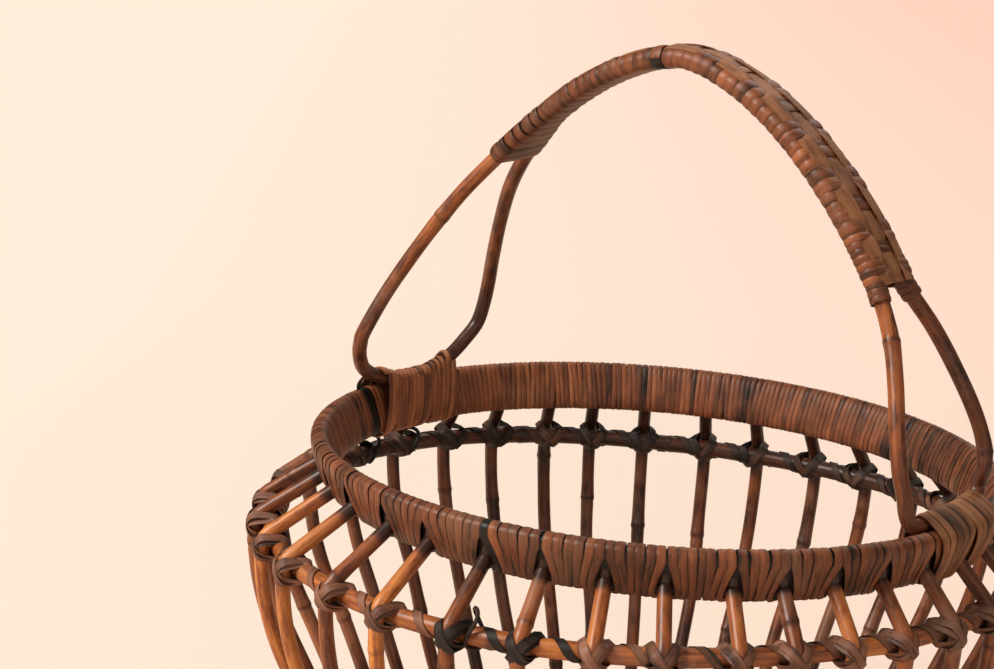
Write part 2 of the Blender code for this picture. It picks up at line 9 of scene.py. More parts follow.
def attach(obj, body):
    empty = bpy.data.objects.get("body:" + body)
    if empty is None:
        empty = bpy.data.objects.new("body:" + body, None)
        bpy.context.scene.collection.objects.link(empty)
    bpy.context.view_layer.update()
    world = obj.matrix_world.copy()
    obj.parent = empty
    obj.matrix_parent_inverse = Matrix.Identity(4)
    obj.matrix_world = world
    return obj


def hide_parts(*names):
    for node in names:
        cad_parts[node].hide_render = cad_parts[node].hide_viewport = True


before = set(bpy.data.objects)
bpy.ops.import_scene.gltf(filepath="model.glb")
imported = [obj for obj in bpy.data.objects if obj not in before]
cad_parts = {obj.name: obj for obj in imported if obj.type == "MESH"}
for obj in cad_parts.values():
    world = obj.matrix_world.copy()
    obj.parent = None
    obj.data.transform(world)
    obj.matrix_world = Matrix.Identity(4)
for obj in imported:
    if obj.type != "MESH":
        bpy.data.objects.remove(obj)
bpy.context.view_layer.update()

# Sizes in metres, the same as the solids' own
fit_gap = 0.0003
cane_thickness = 0.0007
stake_shift_shares = (
    -0.42, -0.43, -0.39, -0.33, -0.27, -0.25, -0.27, -0.30, -0.29, -0.24, -0.09, -0.06,
    0.14, 0.15, 0.0, 0.01, -0.06, -0.03, -0.01, -0.02, -0.03, -0.05, -0.10, -0.14,
    -0.13, 0.05, 0.06, 0.22, 0.26, 0.27, 0.20, 0.23, 0.02, -0.15, -0.29, -0.36,
)
first_stake_degrees = 7.5
stake_diameter = 0.0054
belly_bend_radius = 0.110
foot_lean = math.radians(25.0)

rim_height = 0.150
rim_radius = 0.125
rim_oval = 0.0041
rim_rod_diameter = 0.0062
rim_lean = math.radians(20.0)

hoop_radius = 0.1358
hoop_shift = 0.0068
hoop_shift_azimuth = math.radians(282.0)
hoop_oval = 0.0056
hoop_oval_azimuth = math.radians(32.0)
hoop_drop = 0.0233
hoop_saddle = 0.0017
hoop_rod_diameter = 0.0068

board_thickness = 0.010
board_edge = 0.0045
board_rounding = 0.0025
hole_depth = 0.007

handle_height = 0.1577
handle_rod_diameter = 0.0058
handle_rod_parting = 0.0014
left_roundness = 1.725
right_roundness = 1.64
handle_lean = 0.0031
bar_lean = math.radians(70.0)
bar_end_lift = 0.0045
bar_steps = 4
left_splay_share = 0.12
right_splay_share = 0.95

# Where the handle's legs are: shares of its height, and of its span to the near or the far side
wrap_start_share = 0.700
left_near_share, left_far_share = 0.064, 0.077
right_near_shares = (
    (0.555, 0.029), (0.460, 0.051), (0.372, 0.095), (0.274, 0.145), (0.187, 0.169), (0.138, 0.162),
)
right_far_shares = (
    (0.555, 0.112), (0.460, 0.170), (0.371, 0.214), (0.273, 0.259), (0.195, 0.280), (0.142, 0.266),
)
left_near_shares = (
    (0.600, 0.113), (0.485, 0.166), (0.343, 0.240), (0.233, 0.295), (0.198, 0.2996), (0.167, 0.292),
    (0.131, 0.267), (0.109, 0.230), (0.0973, 0.194),
)
left_far_shares = (
    (0.600, 0.119), (0.485, 0.182), (0.372, 0.235), (0.311, 0.259), (0.243, 0.272), (0.187, 0.264),
    (0.144, 0.216), (0.120, 0.180), (0.104, 0.150),
)
# How far the left foot's rod stands above its bar, at azimuths in degrees
foot_lifts = (
    (171.4, 0.0060), (173.5, 0.0025), (176.5, 0.0003), (181.0, 0.0),
    (185.5, 0.0008), (188.3, 0.0028), (191.1, 0.0049),
)
route_stations = 18
curve_steps = 8

# Every rod's growth rings and slow wander
rod_step = 0.0012
rod_sides, rim_rod_sides, thin_sides = 16, 12, 8
rod_wobble_share = 0.02
rod_wobble_length = 0.05
rod_drift_tone = 0.13
rod_drift_length = 0.07
wave_count = 3
wave_step = 0.61
wave_seed_start, wave_seed_step = 1.7, 2.3
drift_seed_step = 3
wave_level = 1.6
growth_ridge = 0.00029
growth_ridge_width = 0.0008
growth_foot_width = 0.0048
growth_foot_share, growth_groove_share = 0.7, 0.5
growth_groove_shift = 0.002
growth_mark_shift = 0.0006
growth_mark_tone = 0.32
first_growth_shares = (0.2, 0.9)
growth_gap_shares = (0.7, 1.3)
growth_size_shares = (0.5, 1.0)

# A flat cane's section, and where across it the edge's tone counts
strip_shares = (-1.0, -0.72, 0.0, 0.72, 1.0)
strip_foot_share = 0.96
crown_power = 2.2
edge_tones = (-1.2, -0.9, 0.05, 0.1, 0.05, -0.9, -1.2)
fibre_reach = 9.0
sharp_angle = math.radians(45.0)

# Each kind of cane: its thickness, how much its face is rounded and how dark its edges are
wrap_cane = (0.00055, 0.5, 0.27)
lashing_cane = (0.0004, 0.35, 0.25)
handle_cane = (0.0007, 0.55, 0.22)
collar_cane = (0.0007, 0.35, 0.25)
weaver_cane = (0.0006, 0.3, 0.15)
binding_cane = (0.0009, 0.6, 0.45)

# Stakes and hoop: how they run, how pale each stake is, and the painted shade in their corners
shown_bend = 0.0019
shown_setoff = 0.0014
near_hoop_drop = 0.0020
bend_steps, belly_steps = 8, 12
stake_step = 0.002
sway = 0.0011
sway_length = 0.12
sway_start, sway_ease = 0.05, 0.03
sway_seed_step = 1.37
# Each stake's own tone, lower on the far side as painted shade
stake_tones = (
    0.35, 0.30, 0.42, 0.30, 0.25, 0.30, 0.28, 0.30, 0.34, 0.30, 0.28, 0.22,
    0.20, 0.16, 0.24, 0.14, 0.22, 0.24, 0.30, 0.34, 0.40, 0.45, 0.52, 0.80,
    0.84, 0.52, 0.82, 0.44, 0.58, 0.76, 0.56, 0.62, 0.56, 0.78, 0.50, 0.46,
)
# Painted shade on the stakes: under the rim, at the hoop and where each goes into the rim's hole
under_rim_start, under_rim_run = 0.002, 0.015
under_rim_shade_depths = (0.08, 0.42)
hoop_shade_reach = 0.007
hoop_shade_depths = (0.10, 0.32)
hole_shade_start, hole_shade_run = 0.0170, 0.003
hole_shade_depth = 0.85
# The hoop's tone on the near and the far side; the far side's dark is painted shade
hoop_tones = (0.60, -0.02)
far_start, far_run = 0.1, 0.9
ring_steps = 240
# The rim rods are dark, as painted shade where they show through the wrap's holes
rim_rod_tone = -0.3

# The rim's wrap; a pair goes from the near side to the far side
wrap_pitches = (0.0034, 0.0022)
wrap_bulge = 3.0
wrap_points = 48
wrap_least_turns = 4
# A core inside the wrap, painted near black as the shade seen through the holes and between the turns
core_inset = 0.0010
core_points, core_steps = 24, 180
shade_core_tone = -1.0
hole_base = -0.0050
hole_apex = 0.0056
hole_low_start = -0.0072
hole_low_end = -0.0100
hole_power = 0.7
hole_clearance = 0.0007
hole_lip = 0.0004
wrap_tone, wrap_tone_spread, group_tone_spread = 0.40, 0.10, 0.06
wrap_tone_limits = (0.1, 0.9)
# Painted light: the far side's turns are paler towards its left
far_wrap_tone, far_wrap_swing = 0.17, 0.23
far_wrap_swing_azimuth = 0.8
tilt_spread_share, group_tilt_share = 0.06, 0.10
wrap_lift = 0.00016
wrap_width_shares = (0.96, 1.03)
shade_chance, shade_share = 0.08, 0.6
black_tone = -0.3
# Rim turns just past the left foot's binding, painted black as the shadow behind the handle's foot
painted_shadow_turn_azimuths = (math.radians(190.6), math.radians(193.0))
black_turn = (27, 0)

# The hoop's lashings, the turns beside them and the loose loops
lashing_width = 0.0040
lashing_degrees = (42.0, 54.0)
lashing_lean_spread = 4
lashing_width_shares = (1.0, 0.85)
lashing_spread = 0.0020
lashing_points = 40
lashing_lift, lashing_layer = 0.00005, 0.00014
lashing_hoop_share, lashing_stake_share = 0.12, 0.08
inner_start, inner_slope = 0.3, 0.8
# Lashing tone on the near and the far side; the far side's lower tone is painted shade
lashing_tones = (0.64, 0.14)
lashing_tone_spread = 0.08
dark_lashing_stakes = (27, 28)
dark_lashing_tone = 0.0
probe = 0.02
run_shift, run_angle = 0.02, 0.13
run_points = 30
run_gap = 0.0001
run_width_share = 0.8
run_start_spread = 0.3
run_tone_change, run_tone_spread = -0.05, 0.06
# Azimuth in degrees, height above the hoop, reach and tone
loose_loops = ((282.6, 0.0026, 0.0072, 0.15), (185.0, 0.0015, 0.0060, -0.2), (176.0, 0.0012, 0.0056, -0.2))
loop_points = 24
loop_thickness = 0.0008
loop_twist = 0.002

# The handle's wrap, weave and tones
handle_frames = 400
handle_turn_pitch = 0.0044
handle_end_pitch = 0.0026
handle_end_share = 0.90
handle_pitch_shares = (0.9, 1.1)
handle_last_share = 0.6
handle_turn_width_share = 1.09
handle_turn_lift = 0.00015
handle_turn_points = 48
handle_turn_tone, handle_turn_rise, handle_turn_spread = 0.32, 0.18, 0.09
handle_slant, handle_slant_spread = 0.10, 0.02
notch_turn = 20
notch_swell = 0.0004
notch_reach = 0.1
# A sleeve over the rods, painted dark as the shade seen between the turns
sleeve_gap = 0.0001
sleeve_points, sleeve_step = 40, 4
shade_sleeve_tone = -0.4
ring_flank = 2.2
ring_power = 0.9
ring_side_start, ring_top_share = 0.45, 0.3
weave_raise = 0.0007
weave_raise_share = 0.55
weave_cycle = 5
weave_over = 3.1
weave_ease = 0.8
weaver_count = 3
weaver_spacing = 0.0072
weaver_margin = 0.004
weaver_lift, weaver_rise = 0.0001, 0.00050
weaver_wander = 0.0002
weaver_wander_steps = (0.5, 2.1)
weaver_tilt = 0.25
weaver_low_share = 0.85
weaver_tone, weaver_tone_step = 0.62, 0.05
collar_turns = 3
collar_points = 24
collar_start = 0.0022
collar_lift = 0.00003
collar_tone, collar_tone_spread = 0.20, 0.08
handle_tone_top = 0.50
foot_tone_height, foot_tone_run = 0.060, 0.05
foot_tone_shares = (1.0, 0.4)
foot_tone_depth, far_tone_depth = 0.34, 0.22
far_tone_offset, far_tone_run = 0.004, 0.012

# The bindings of the handle's feet
# The right one's middle stake, turns to both sides and turns to a gap
right_binding = (0, (5, 5), 5)
binding_points = 56
binding_width_shares = (0.98, 1.10)
binding_tone_limits = (-0.1, 1.0)
binding_proud = 0.0004
binding_outer_shift = 0.05
squeeze_share, squeeze_ease = 0.27, 0.20
# Two thin canes that hang beside the left foot: a shift to the far side, and how far each bows
hanging_canes = ((0.0, 0.0022), (0.0016, 0.0034))
hanging_start = np.array((-0.1240, -0.0292, 0.1676))
hanging_end_azimuth = math.radians(193.0)
hanging_end_along = 0.0090
hanging_radius = 0.0006
hanging_points = 12
hanging_tone = -0.1

# The board
board_face_inset = 0.06
board_rounding_steps = 6
board_steps = 180
board_tone = 0.5

# The photograph's view
camera_place = Vector((0.5484, -0.7410, 0.4145))
camera_forward = Vector((-0.63086, 0.74167, -0.22784))
camera_up = Vector((-0.18718, 0.13950, 0.97237))
camera_lens = 90.54
sensor_width = 36.0
nearest_seen = 0.05

# Values worked out from the sizes above
full_turn = 2 * math.pi
quarter_turn = math.pi / 2
stake_count = len(stake_shift_shares)
stake_radius = stake_diameter / 2
rim_rod_radius = rim_rod_diameter / 2
hoop_rod_radius = hoop_rod_diameter / 2
handle_rod_radius = handle_rod_diameter / 2
rod_spacing = rim_rod_diameter + stake_diameter + 2 * fit_gap
sleeve_outer = rim_rod_radius + fit_gap + cane_thickness
rod_bend = rim_rod_radius + stake_radius + fit_gap
hoop_bend = hoop_rod_radius + stake_radius + fit_gap
bar_reach = sleeve_outer + fit_gap + handle_rod_radius
bar_across = -bar_reach * math.sin(bar_lean)
bar_along = rod_spacing / 2 + bar_reach * math.cos(bar_lean)
handle_span = rim_radius + rim_oval + bar_across * math.cos(rim_lean) + bar_along * math.sin(rim_lean)
top_spread = (handle_rod_diameter + handle_rod_parting) / 2
handle_inner = handle_rod_radius + fit_gap
collar_width = handle_end_pitch * 1.04
near_azimuth = math.radians(306.5)
upwards = np.array((0.0, 0.0, 1.0))
off_upright = upwards + 0.01
to_far_side = np.array((0.0, 1.0, 0.0))
chance = random.Random(7)

# Each kind of rod: its radius, how far apart its growth rings are, and a seed
stake_rod = (stake_radius, 0.075, 11)
hoop_rod = (hoop_rod_radius, 0.09, 71)
rim_rod = (rim_rod_radius, 0.085, 3)
handle_rod = (handle_rod_radius, 0.12, 23)


# Meshes from rows of rings, with what the materials read kept at each point

class Shape:
    """Collects rings of points into one mesh."""

    def __init__(self):
        self.points = []
        self.faces = []
        self.fibre = []
        self.tone = []

    def sweep(self, rings, tone, closed_path=False):
        """Adds a run of equal closed rings; tone is a number, or one for each ring or each point."""
        rings = np.asarray(rings, float)
        count, size = rings.shape[:2]
        first = len(self.points)
        self.points.extend(rings.reshape(-1, 3))
        along = path_length(rings.mean(axis=1))
        across = path_length(rings[0])
        start = chance.random() * fibre_reach
        tones = np.asarray(tone, float)
        if tones.ndim == 1:
            tones = tones[:, None]
        self.tone.extend(np.broadcast_to(tones, (count, size)).ravel())
        self.fibre.extend((a, b, start) for a in along for b in across)
        for i in range(count if closed_path else count - 1):
            below = first + i * size
            above = first + (i + 1) % count * size
            for j in range(size):
                k = (j + 1) % size
                self.faces.append((below + j, below + k, above + k, above + j))
        if not closed_path:
            last = first + (count - 1) * size
            self.faces.append(tuple(range(first + size - 1, first - 1, -1)))
            self.faces.append(tuple(range(last, last + size)))

    def piece(self, name, finish, nodes):
        """Makes the object, in place of the CAD nodes it stands for."""
        mesh = bpy.data.meshes.new(name)
        mesh.from_pydata([tuple(point) for point in self.points], [], self.faces)
        fibre = mesh.attributes.new("fibre", "FLOAT_VECTOR", "POINT")
        fibre.data.foreach_set("vector", np.asarray(self.fibre, np.float32).ravel())
        tone = mesh.attributes.new("tone", "FLOAT", "POINT")
        tone.data.foreach_set("value", np.asarray(self.tone, np.float32))
        mesh.shade_smooth()
        mesh.set_sharp_from_angle(angle=sharp_angle)
        mesh.materials.append(finish)
        made = new_object(name, mesh)
        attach(made, "root")
        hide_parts(*nodes)


def new_object(name, data):
    """Adds an object with this data to the scene."""
    made = bpy.data.objects.new(name, data)
    bpy.context.scene.collection.objects.link(made)
    return made


def unit(vector):
    """The vector at length 1."""
    return vector / np.linalg.norm(vector)


def smooth(share):
    """Eases from 0 to 1."""
    share = min(max(share, 0.0), 1.0)
    return share * share * (3 - 2 * share)


def hump(distance, width):
    """1 at no distance, falling off on both sides."""
    return np.exp(-(distance / width) ** 2)


def ring_angles(count, start=0.0):
    """Even angles round a full turn."""
    return np.linspace(0.0, full_turn, count, endpoint=False) + start


def path_directions(points, closed):
    """The direction of travel at each point of a path."""
    points = np.asarray(points)
    if closed:
        steps = np.roll(points, -1, axis=0) - np.roll(points, 1, axis=0)
    else:
        steps = np.gradient(points, axis=0)
    return steps / np.linalg.norm(steps, axis=1)[:, None]


def path_length(points):
    """How far along the path each point is."""
    steps = np.linalg.norm(np.diff(np.asarray(points), axis=0), axis=1)
    return np.concatenate(([0.0], np.cumsum(steps)))


def tube_rings(points, radii, closed=False, sides=rod_sides):
    """Rings round a path, carried along it without twisting."""
    points = np.asarray(points, float)
    directions = path_directions(points, closed)
    side = unit(np.cross(directions[0], off_upright))
    rings = []
    angles = ring_angles(sides)
    for point, direction, radius in zip(points, directions, np.broadcast_to(radii, len(points))):
        side = unit(side - side.dot(direction) * direction)
        other = np.cross(direction, side)
        rings.append(point + radius * (np.outer(np.cos(angles), side) + np.outer(np.sin(angles), other)))
    return rings


def resampled(points, spacing, closed=False):
    """The path with evenly spaced points."""
    points = np.asarray(points, float)
    if closed:
        points = np.vstack([points, points[:1]])
    along = path_length(points)
    count = max(int(round(along[-1] / spacing)), 2)
    wanted = np.linspace(0.0, along[-1], count + 1)
    result = np.stack([np.interp(wanted, along, points[:, axis]) for axis in range(3)], axis=1)
    return result[:-1] if closed else result


def waves(along, scale, seed):
    """A slow wander between about -1 and 1 along a path."""
    total = np.zeros_like(along)
    for i in range(wave_count):
        start = seed * (i + wave_seed_start) * wave_seed_step
        total += np.sin(along / scale * full_turn * (i + 1) * wave_step + start) / (i + 1)
    return total / wave_level


def rod_growth(along, spacing, seed):
    """How much a rattan rod swells at its growth rings, and where those rings are, from 0 to 1."""
    maker = random.Random(seed)
    swell = np.zeros_like(along)
    marks = np.zeros_like(along)
    place_at = spacing * maker.uniform(*first_growth_shares)
    while place_at < along[-1]:
        distance = along - place_at
        marks = np.maximum(marks, hump(distance - growth_mark_shift, growth_ridge_width))
        swell += growth_ridge * hump(distance, growth_ridge_width) * maker.uniform(*growth_size_shares)
        swell += growth_ridge * growth_foot_share * hump(distance, growth_foot_width)
        groove = hump(distance - growth_groove_shift, growth_ridge_width)
        swell -= growth_ridge * growth_groove_share * groove
        place_at += spacing * maker.uniform(*growth_gap_shares)
    return swell, marks


def make_rod(names, finish, points, kind, tone, number=0, closed=True, sides=rod_sides):
    """A rattan rod along a path, as a piece; names are its own and its CAD node's, tone may be a function."""
    radius, growth, seed = kind
    seed += number
    points = resampled(points, rod_step, closed)
    along = path_length(points)
    swell, marks = rod_growth(along, growth, seed)
    radii = radius * (1 + rod_wobble_share * waves(along, rod_wobble_length, seed)) + swell
    own = np.array([tone(point) for point in points]) if callable(tone) else tone
    drift = waves(along, rod_drift_length, seed + drift_seed_step)
    tones = own + rod_drift_tone * drift - growth_mark_tone * marks
    shape = Shape()
    shape.sweep(tube_rings(points, radii, closed, sides), tones, closed_path=closed)
    shape.piece(names[0], finish, names[1:])


def strip_section(width, thickness, crown):
    """A flat cane's section: its distance to the side and its height, from one lower corner round."""
    half = width / 2
    top = [(half * share, thickness * (1 - crown * abs(share) ** crown_power)) for share in strip_shares]
    return [(-half * strip_foot_share, 0.0)] + top + [(half * strip_foot_share, 0.0)]


def add_strip(shape, points, outwards, width, cane, tone, closed=False):
    """A flat cane whose underside follows a path; outwards is the way its face looks."""
    thickness, crown, edge = cane
    points = np.asarray(points, float)
    directions = path_directions(points, closed)
    widths = np.broadcast_to(width, len(points))
    rings = []
    for point, direction, outward, wide in zip(points, directions, outwards, widths):
        side = unit(np.cross(direction, outward))
        face = np.cross(side, direction)
        rings.append([point + side * x + face * y for x, y in strip_section(wide, thickness, crown)])
    tones = np.broadcast_to(np.asarray(tone, float), (len(points),))[:, None] + edge * np.array(edge_tones)
    shape.sweep(rings, tones, closed_path=closed)


def evened(values):
    """A closed row of values, each drawn twice towards its neighbours."""
    for _ in range(2):
        values = (np.roll(values, 1) + 2 * values + np.roll(values, -1)) / 4
    return values


def rate_round(values):
    """How fast a closed row of values changes with the angle."""
    return (np.roll(values, -1) - np.roll(values, 1)) / (2 * full_turn / len(values))


# The basket's own lines, worked out as for the solids

def stake_azimuth(index):
    """The direction of a stake from the axis; whole turns are added past the last one."""
    turns, number = divmod(index, stake_count)
    shifted = full_turn / stake_count * (number + stake_shift_shares[number])
    return math.radians(first_stake_degrees) + shifted + turns * full_turn


def stake_before(azimuth):
    """The index of the stake just before an azimuth."""
    index = math.floor(azimuth * stake_count / full_turn) - 2
    while stake_azimuth(index + 1) <= azimuth:
        index += 1
    return index


def out_from_axis(azimuth):
    """The horizontal unit vector that points away from the axis."""
    return np.array((math.cos(azimuth), math.sin(azimuth), 0.0))


def round_axis(azimuth):
    """The horizontal unit vector square to it, towards the next stake."""
    return np.array((-math.sin(azimuth), math.cos(azimuth), 0.0))


def place(azimuth, radius, height):
    """A point from its direction, its distance from the axis and its height."""
    return out_from_axis(azimuth) * radius + upwards * height


def rim_radius_at(azimuth):
    """The rim is a little longer along the handle than across it."""
    return rim_radius + rim_oval * math.cos(2 * azimuth)


def rim_station(azimuth, across, along):
    """A point of the rim's section: across it, outwards, and along it, upwards."""
    radius = rim_radius_at(azimuth) + across * math.cos(rim_lean) + along * math.sin(rim_lean)
    height = rim_height - across * math.sin(rim_lean) + along * math.cos(rim_lean)
    return place(azimuth, radius, height)


def rim_outward(azimuth, across, along):
    """A direction of the rim's section in space."""
    return rim_station(azimuth, across, along) - rim_station(azimuth, 0.0, 0.0)


def hoop_radius_at(azimuth):
    """The hoop's distance from the rim's axis: a little oval, and off that axis."""
    shift = hoop_shift * math.cos(azimuth - hoop_shift_azimuth)
    return hoop_radius + shift + hoop_oval * math.cos(2 * (azimuth - hoop_oval_azimuth))


def far_share(azimuth):
    """0 on the near side, 1 on the far side."""
    return smooth((far_start - math.cos(azimuth - near_azimuth)) / far_run)


def near_to_far(pair, azimuth):
    """Goes from the first value on the near side to the second on the far side."""
    return pair[0] + (pair[1] - pair[0]) * far_share(azimuth)


def hoop_height_at(azimuth):
    """The hoop rises a little towards the handle's feet."""
    return rim_height - hoop_drop + hoop_saddle * math.cos(2 * azimuth)


def shown_hoop_height(azimuth):
    """The hoop is shown a little lower than its solid on the near side."""
    return hoop_height_at(azimuth) - near_hoop_drop * (1 - far_share(azimuth))


def hoop_centre(azimuth):
    """The centre of the hoop's rod at an azimuth."""
    return place(azimuth, hoop_radius_at(azimuth), shown_hoop_height(azimuth))


def arc(centre, radius, start, end, steps):
    """Points along an arc of the section plane."""
    angles = np.linspace(start, end, steps + 1)
    return [centre + radius * np.array((math.cos(angle), math.sin(angle))) for angle in angles]


def foot_at(azimuth, height):
    """How far out a stake's straight foot is at a height."""
    hoop = np.array((hoop_radius_at(azimuth), hoop_height_at(azimuth)))
    middle = hoop + np.array((hoop_bend - belly_bend_radius, 0.0))
    bend_end = middle + belly_bend_radius * np.array((math.cos(foot_lean), -math.sin(foot_lean)))
    return bend_end[0] - (bend_end[1] - height) * math.tan(foot_lean)


def stake_profile(azimuth):
    """The stake's centre line in its section plane: out of the rim, round the hoop, down into the board."""
    across = np.array((math.cos(rim_lean), -math.sin(rim_lean)))
    along = np.array((-across[1], across[0]))
    rim = np.array((rim_radius_at(azimuth), rim_height))
    rod = rim + across * shown_setoff - along * rod_spacing / 2
    hoop = np.array((hoop_radius_at(azimuth), shown_hoop_height(azimuth)))
    step = hoop - rod
    slope = math.atan2(step[1], step[0]) + math.asin((hoop_bend - shown_bend) / np.linalg.norm(step))
    points = arc(rod, shown_bend, quarter_turn - rim_lean, quarter_turn + slope, bend_steps)
    points.insert(0, points[0] - across * shown_setoff + along * (rod_bend - shown_bend))
    points += arc(hoop, hoop_bend, quarter_turn + slope, 0.0, bend_steps)
    middle = hoop + np.array((hoop_bend - belly_bend_radius, 0.0))
    points += arc(middle, belly_bend_radius, 0.0, -foot_lean, belly_steps)[1:]
    end_height = board_thickness - hole_depth + fit_gap
    points.append(np.array((foot_at(azimuth, end_height), end_height)))
    return points


# Stakes, rods and hoop

def painted_shade(point):
    """How much painted shade darkens a rod at a point: under the rim and at the hoop, most of all on the far
    side, and where it goes into the rim's hole.
    """
    azimuth = math.atan2(point[1], point[0])
    above = point[2] - shown_hoop_height(azimuth)
    under_rim = near_to_far(under_rim_shade_depths, azimuth) * smooth((above - under_rim_start) / under_rim_run)
    at_hoop = near_to_far(hoop_shade_depths, azimuth) * hump(above, hoop_shade_reach)
    return under_rim + at_hoop + hole_shade_depth * smooth((above - hole_shade_start) / hole_shade_run)


def make_stakes(finish):
    """The stakes, each a rattan rod of its own tone, darkened by painted shade."""
    for index in range(stake_count):
        azimuth = stake_azimuth(index)
        points = resampled([place(azimuth, r, z) for r, z in stake_profile(azimuth)], stake_step)
        along = path_length(points)
        free = np.clip((along - sway_start) / sway_ease, 0, 1)
        free *= np.clip((along[-1] - along) / sway_ease, 0, 1)
        swing = sway * waves(along, sway_length, index * sway_seed_step) * free
        points = points + np.outer(swing, round_axis(azimuth))
        own = stake_tones[index]
        names = (f"rattan_stake_{index + 1:02d}", f"stake_{index + 1:02d}")
        # Each stake's tone, less the painted shade
        make_rod(names, finish, points, stake_rod, lambda point: own - painted_shade(point), index, False)


def make_rim_rods(finish):
    """The rim's two rods, mostly hidden in the wrap, dark as painted shade where they show."""
    for name, node, side in (("rim_rod_upper", "rim_upper_rod", 1), ("rim_rod_lower", "rim_lower_rod", -1)):
        points = [rim_station(azimuth, 0.0, side * rod_spacing / 2) for azimuth in ring_angles(ring_steps)]
        make_rod((name, node), finish, points, rim_rod, rim_rod_tone, side, sides=rim_rod_sides)


def hoop_tone(point):
    """The hoop is orange on the near side and nearly black on the far side, where the dark is painted shade.
    """
    return near_to_far(hoop_tones, math.atan2(point[1], point[0]))


def make_hoop(finish):
    """The shoulder hoop."""
    points = [hoop_centre(azimuth) for azimuth in ring_angles(ring_steps)]
    make_rod(("hoop_rod", "shoulder_hoop"), finish, points, hoop_rod, hoop_tone)


# The rim's wrap

def wrap_outline(count, inset=0.0):
    """The points of the rim wrap's section: a bulging outline."""
    half_width = sleeve_outer - cane_thickness - inset
    half_height = rod_spacing / 2 + half_width
    result = []
    for angle in ring_angles(count, -quarter_turn):
        c, s = math.cos(angle), math.sin(angle)
        across = half_width * math.copysign(abs(c) ** (2 / wrap_bulge), c)
        along = half_height * math.copysign(abs(s) ** (2 / wrap_bulge), s)
        result.append((across, along))
    return result


def hole_share(across, along):
    """How much of a stake's width the rim's turns leave open beside it, from 0 to 1."""
    if across <= 0:
        return 0.0
    if along > hole_base:
        return max(0.0, (hole_apex - along) / (hole_apex - hole_base)) ** hole_power
    return 1 - smooth((hole_low_start - along) / (hole_low_start - hole_low_end))


def wrap_turn_tone(azimuth, group_tone, black):
    """A rim turn's tone: paler towards the far side's left as painted light, now and then much darker; black
    turns take the black tone.
    """
    swing = far_wrap_tone - far_wrap_swing * math.cos(azimuth - far_wrap_swing_azimuth)
    lightness = wrap_tone + far_share(azimuth) * swing
    tone = np.clip(chance.gauss(lightness, wrap_tone_spread) + group_tone, *wrap_tone_limits)
    if chance.random() < shade_chance:
        tone *= shade_share
    return black_tone if black else tone


def make_rim_wrap(finish):
    """The cane turns round the rim's rods, parted round each stake, over a core painted dark as the shade in
    the holes and between the turns.
    """
    shape = Shape()
    core = [
        [rim_station(azimuth, across, along) for across, along in wrap_outline(core_points, core_inset)]
        for azimuth in ring_angles(core_steps)
    ]
    shape.sweep(core, shade_core_tone, closed_path=True)
    outline = wrap_outline(wrap_points)
    for index in range(stake_count):
        start, end = stake_azimuth(index), stake_azimuth(index + 1)
        middle = (start + end) / 2
        half_gap = (end - start) / 2
        reach = rim_radius_at(middle)
        pitch_wanted = near_to_far(wrap_pitches, middle)
        turns = max(int(round((end - start) * reach / pitch_wanted)), wrap_least_turns)
        pitch = (end - start) / turns
        open_half = (stake_radius + hole_clearance) / reach
        group_tone = chance.gauss(0.0, group_tone_spread)
        group_tilt = chance.gauss(0.0, group_tilt_share)
        for turn in range(turns):
            azimuth = start + pitch * (turn + 0.5)
            tilt = (chance.gauss(0, tilt_spread_share) + group_tilt) * pitch
            lift = chance.uniform(0, wrap_lift)
            # Turns in the painted shadow beside the left binding, and the one black turn, take the black tone
            black = painted_shadow_turn_azimuths[0] < azimuth < painted_shadow_turn_azimuths[1] or (index, turn) == black_turn
            tone = wrap_turn_tone(azimuth, group_tone, black)
            width_share = chance.uniform(*wrap_width_shares)
            points, outwards, widths = [], [], []
            for across, along in outline:
                at = azimuth + tilt * along / rod_spacing * 2
                aside = (at - middle) / half_gap
                factor = 1 - hole_share(across, along) * open_half / half_gap
                at = middle + (at - middle) * factor
                outward = unit(rim_outward(at, across / sleeve_outer ** 2, along / (rod_spacing ** 2)))
                lip = hole_lip * (1 - factor) * half_gap / open_half * max(0.0, abs(aside) - 0.5)
                points.append(rim_station(at, across, along) + outward * (lift + lip))
                outwards.append(outward)
                widths.append(pitch * reach * factor * width_share)
            add_strip(shape, points, outwards, widths, wrap_cane, tone, closed=True)
    shape.piece("rim_wrapping", finish, ["rim_wrap"])


# The hoop's lashings

def lashing_turn(azimuth, lean, lift, width):
    """One tilted turn round hoop and stake: its points and the way its face looks at each."""
    outward, sideways = out_from_axis(azimuth), round_axis(azimuth)
    hoop_way = unit(hoop_centre(azimuth + probe) - hoop_centre(azimuth - probe))
    centre = hoop_centre(azimuth)
    along = sideways * math.cos(lean) + upwards * math.sin(lean)
    normals = ring_angles(lashing_points, -quarter_turn)
    turned = normals + math.atan2(hoop_way.dot(outward), hoop_way.dot(sideways) * math.cos(lean))
    hoop_half = hoop_rod_radius / abs(math.sin(lean)) + width * lashing_hoop_share
    stake_half = stake_radius / math.cos(lean) + width * lashing_stake_share
    hoop = np.hypot(hoop_rod_radius * np.cos(turned), hoop_half * np.sin(turned))
    stake = np.hypot(stake_radius * np.cos(normals), stake_half * np.sin(normals))
    offsets = evened(np.maximum(hoop, hoop_bend * np.cos(normals) + stake) + lift)
    points, outwards = [], []
    for normal, offset, rate in zip(normals, offsets, rate_round(offsets)):
        direction = outward * math.cos(normal) + along * math.sin(normal)
        across = -outward * math.sin(normal) + along * math.cos(normal)
        inside = smooth(inner_start - math.cos(normal) * inner_slope)
        shift = hoop_way * math.copysign(lashing_spread, lean) * inside
        points.append(centre + direction * offset + across * rate + shift)
        outwards.append(direction)
    return points, outwards


